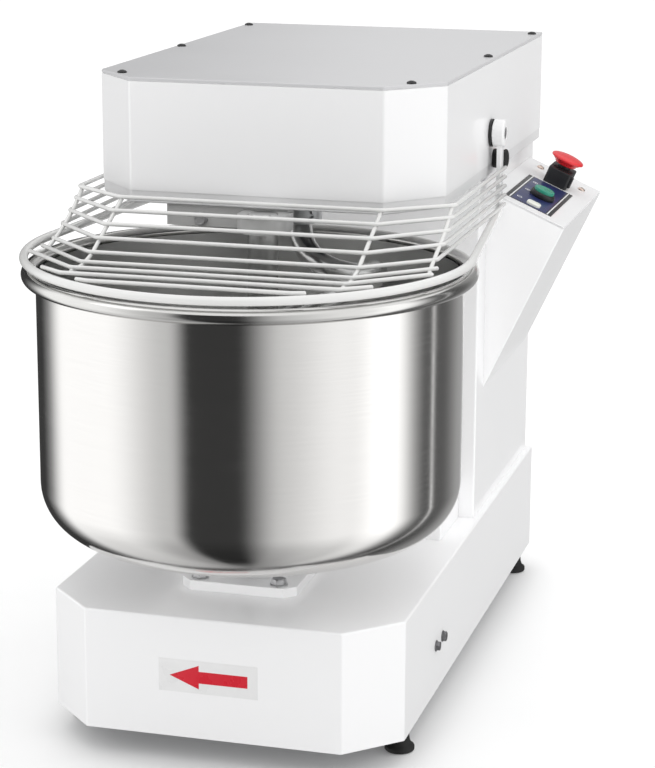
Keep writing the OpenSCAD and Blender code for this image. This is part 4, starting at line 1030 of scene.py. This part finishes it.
# pale floor: a round table top
FLOOR_R, FLOOR_Y, FLOOR_SIDES = 1.3, 0.24, 128
turns = [2 * math.pi * i / FLOOR_SIDES for i in range(FLOOR_SIDES)]
verts = [(0.0, FLOOR_Y, 0.0)] + [(FLOOR_R * math.cos(a), FLOOR_Y + FLOOR_R * math.sin(a), 0.0) for a in turns]
cloth = Nodes("floor_white")
cloth.set(Base_Color=cloth.mix(cloth.noise(6.0, 3.0), (0.83, 0.83, 0.83), (0.86, 0.86, 0.86)), Roughness=0.6)
cloth.set(Specular_IOR_Level=0.1, Emission_Color=(1.0, 1.0, 1.0, 1.0), Emission_Strength=0.1)
floor = stage_mesh("floor", verts, [(0, 1 + i, 1 + (i + 1) % FLOOR_SIDES) for i in range(FLOOR_SIDES)],
                   cloth.material)
floor.visible_glossy = False

# light tent: dim cloth with bright panels, which only reflections see. Each panel runs from one azimuth in
# degrees to another, with a soft edge of some degrees at each end: from, edge, to, edge, brightness
CLOTH = 0.045
PANELS = [
    (156, 32, 250.5, 12, 0.60),  # left softbox
    (163, 20, 226, 40, 0.61),  # its bright side
    (-68, 24, 19, 26, 0.65),  # right softbox
    (-44, 40, 19, 26, 0.40),  # its bright side
    (-10, 20, 14, 20, 0.36),  # its lamp
    (22, 10, 108, 12, 0.07),  # rear wall
    (37, 2, 39.5, 2, 0.80),  # strip lamp
    (62, 30, 108, 12, 0.26),  # rear softbox
    (88, 16, 105, 12, 0.25),  # its lamp
]


def edge(a, at, width):
    return ease(min(max((a - at) / width + 0.5, 0), 1))


def brightness(azimuth):
    light = CLOTH
    for a in (azimuth, azimuth + 360):
        for start, start_edge, end, end_edge, level in PANELS:
            light += level * edge(a, start, start_edge) * (1 - edge(a, end, end_edge))
    return light


TENT_SIDES = 180
azimuths = [360 * i / TENT_SIDES - 180 for i in range(TENT_SIDES)]
verts, faces, tones = [], [], []
rings = []
for radius, z, share in ((3.4, 2.4, 1.0), (3.4, -1.2, 1.0), (3.0, -2.6, 0.7), (1.2, -4.0, 0.45)):
    turns = [math.radians(a) for a in azimuths]
    rings.append(add_ring(verts, [(radius * math.cos(a), radius * math.sin(a), z) for a in turns]))
    tones += [share * brightness(a) for a in azimuths]
for a, b in zip(rings, rings[1:]):
    add_band(faces, a, b)
centre = add_ring(verts, [(0, 0, -4.2)])[0]
tones.append(0.25)
faces += [(rings[-1][(i + 1) % TENT_SIDES], rings[-1][i], centre) for i in range(TENT_SIDES)]
glow = Nodes("tent_cloth")
glow.tree.nodes.remove(glow.bsdf)
lit = glow.new("ShaderNodeEmission", Strength=1.0)
tone = glow.new("ShaderNodeVertexColor", layer_name="tone")
glow.link(tone.outputs[0], lit.inputs[0])
glow.link(lit.outputs[0], glow.out.inputs[0])
tent = stage_mesh("light_tent", verts, faces, glow.material)
attribute = tent.data.color_attributes.new("tone", "FLOAT_COLOR", "POINT")
for i, v in enumerate(tones):
    attribute.data[i].color = (v, v, v, 1.0)
tent.visible_camera = False
tent.visible_shadow = False
tent.visible_diffuse = False

world = bpy.data.worlds.new("studio")
scene.world = world
world.use_nodes = True
world.node_tree.nodes["Background"].inputs[0].default_value = (1, 1, 1, 1)
world.node_tree.nodes["Background"].inputs[1].default_value = 1.08


def area(name, at, to, w, h, power, shiny=False):
    """Rectangular lamp of power watts; shiny ones show in reflections."""
    light = bpy.data.lights.new(name, "AREA")
    light.shape = "RECTANGLE"
    light.size, light.size_y = w, h
    light.energy = power
    ob = bpy.data.objects.new(name, light)
    ob.location = HOME @ Vector(at)
    ob.rotation_mode = "QUATERNION"
    ob.rotation_quaternion = (Vector(to) - Vector(at)).to_track_quat("-Z", "Y")
    scene.collection.objects.link(ob)
    ob.visible_camera = False
    ob.visible_glossy = shiny
    return ob


def reach(light, names):
    """Lets a fill light reach only some pieces, under the bowl and the guard too."""
    receivers = bpy.data.collections.new(light.name + "_receivers")
    for ob in scene.objects:
        if ob.name.startswith(names):
            receivers.objects.link(ob)
    blockers = bpy.data.collections.new(light.name + "_blockers")
    blockers.objects.link(floor)
    light.light_linking.receiver_collection = receivers
    light.light_linking.blocker_collection = blockers


area("key_left", (-2.4, -1.6, 2.4), (0, 0.1, 0.4), 1.6, 1.6, 4, True)
area("fill_right", (2.9, 1.3, 1.2), (0.1, 0.3, 0.35), 1.8, 2.0, 17)
area("top_fill", (0, 0.25, 2.9), (0, 0.25, 0), 2.6, 2.6, 12)
reach(area("base_fill", (0, 0, 3.0), (0, 0, 0), 2.0, 2.0, 28), ("base_shell", "plate_body", "plate_bolt"))
reach(area("low_fill", (0.2, -2.9, 0.4), (0, 0, 0.3), 2.0, 0.6, 26),
      ("plate_b", "column_walls", "control_box", "drive_step"))

optics = bpy.data.cameras.new("camera")
optics.lens = 110.55
optics.sensor_width = 36
optics.clip_end = 60
camera = bpy.data.objects.new("camera", optics)
scene.collection.objects.link(camera)
scene.camera = camera
YAW, PITCH, ROLL = 15.47, -14.24, 0.26
camera.location = HOME @ Vector((0.7272, -2.3228, 0.9973))
camera.rotation_mode = "XYZ"
aim = turned_by(YAW) @ turned_by(90 + PITCH, "X") @ turned_by(ROLL)
camera.rotation_euler = aim.to_euler("XYZ")

scene.view_settings.view_transform = "Standard"
scene.view_settings.look = "None"
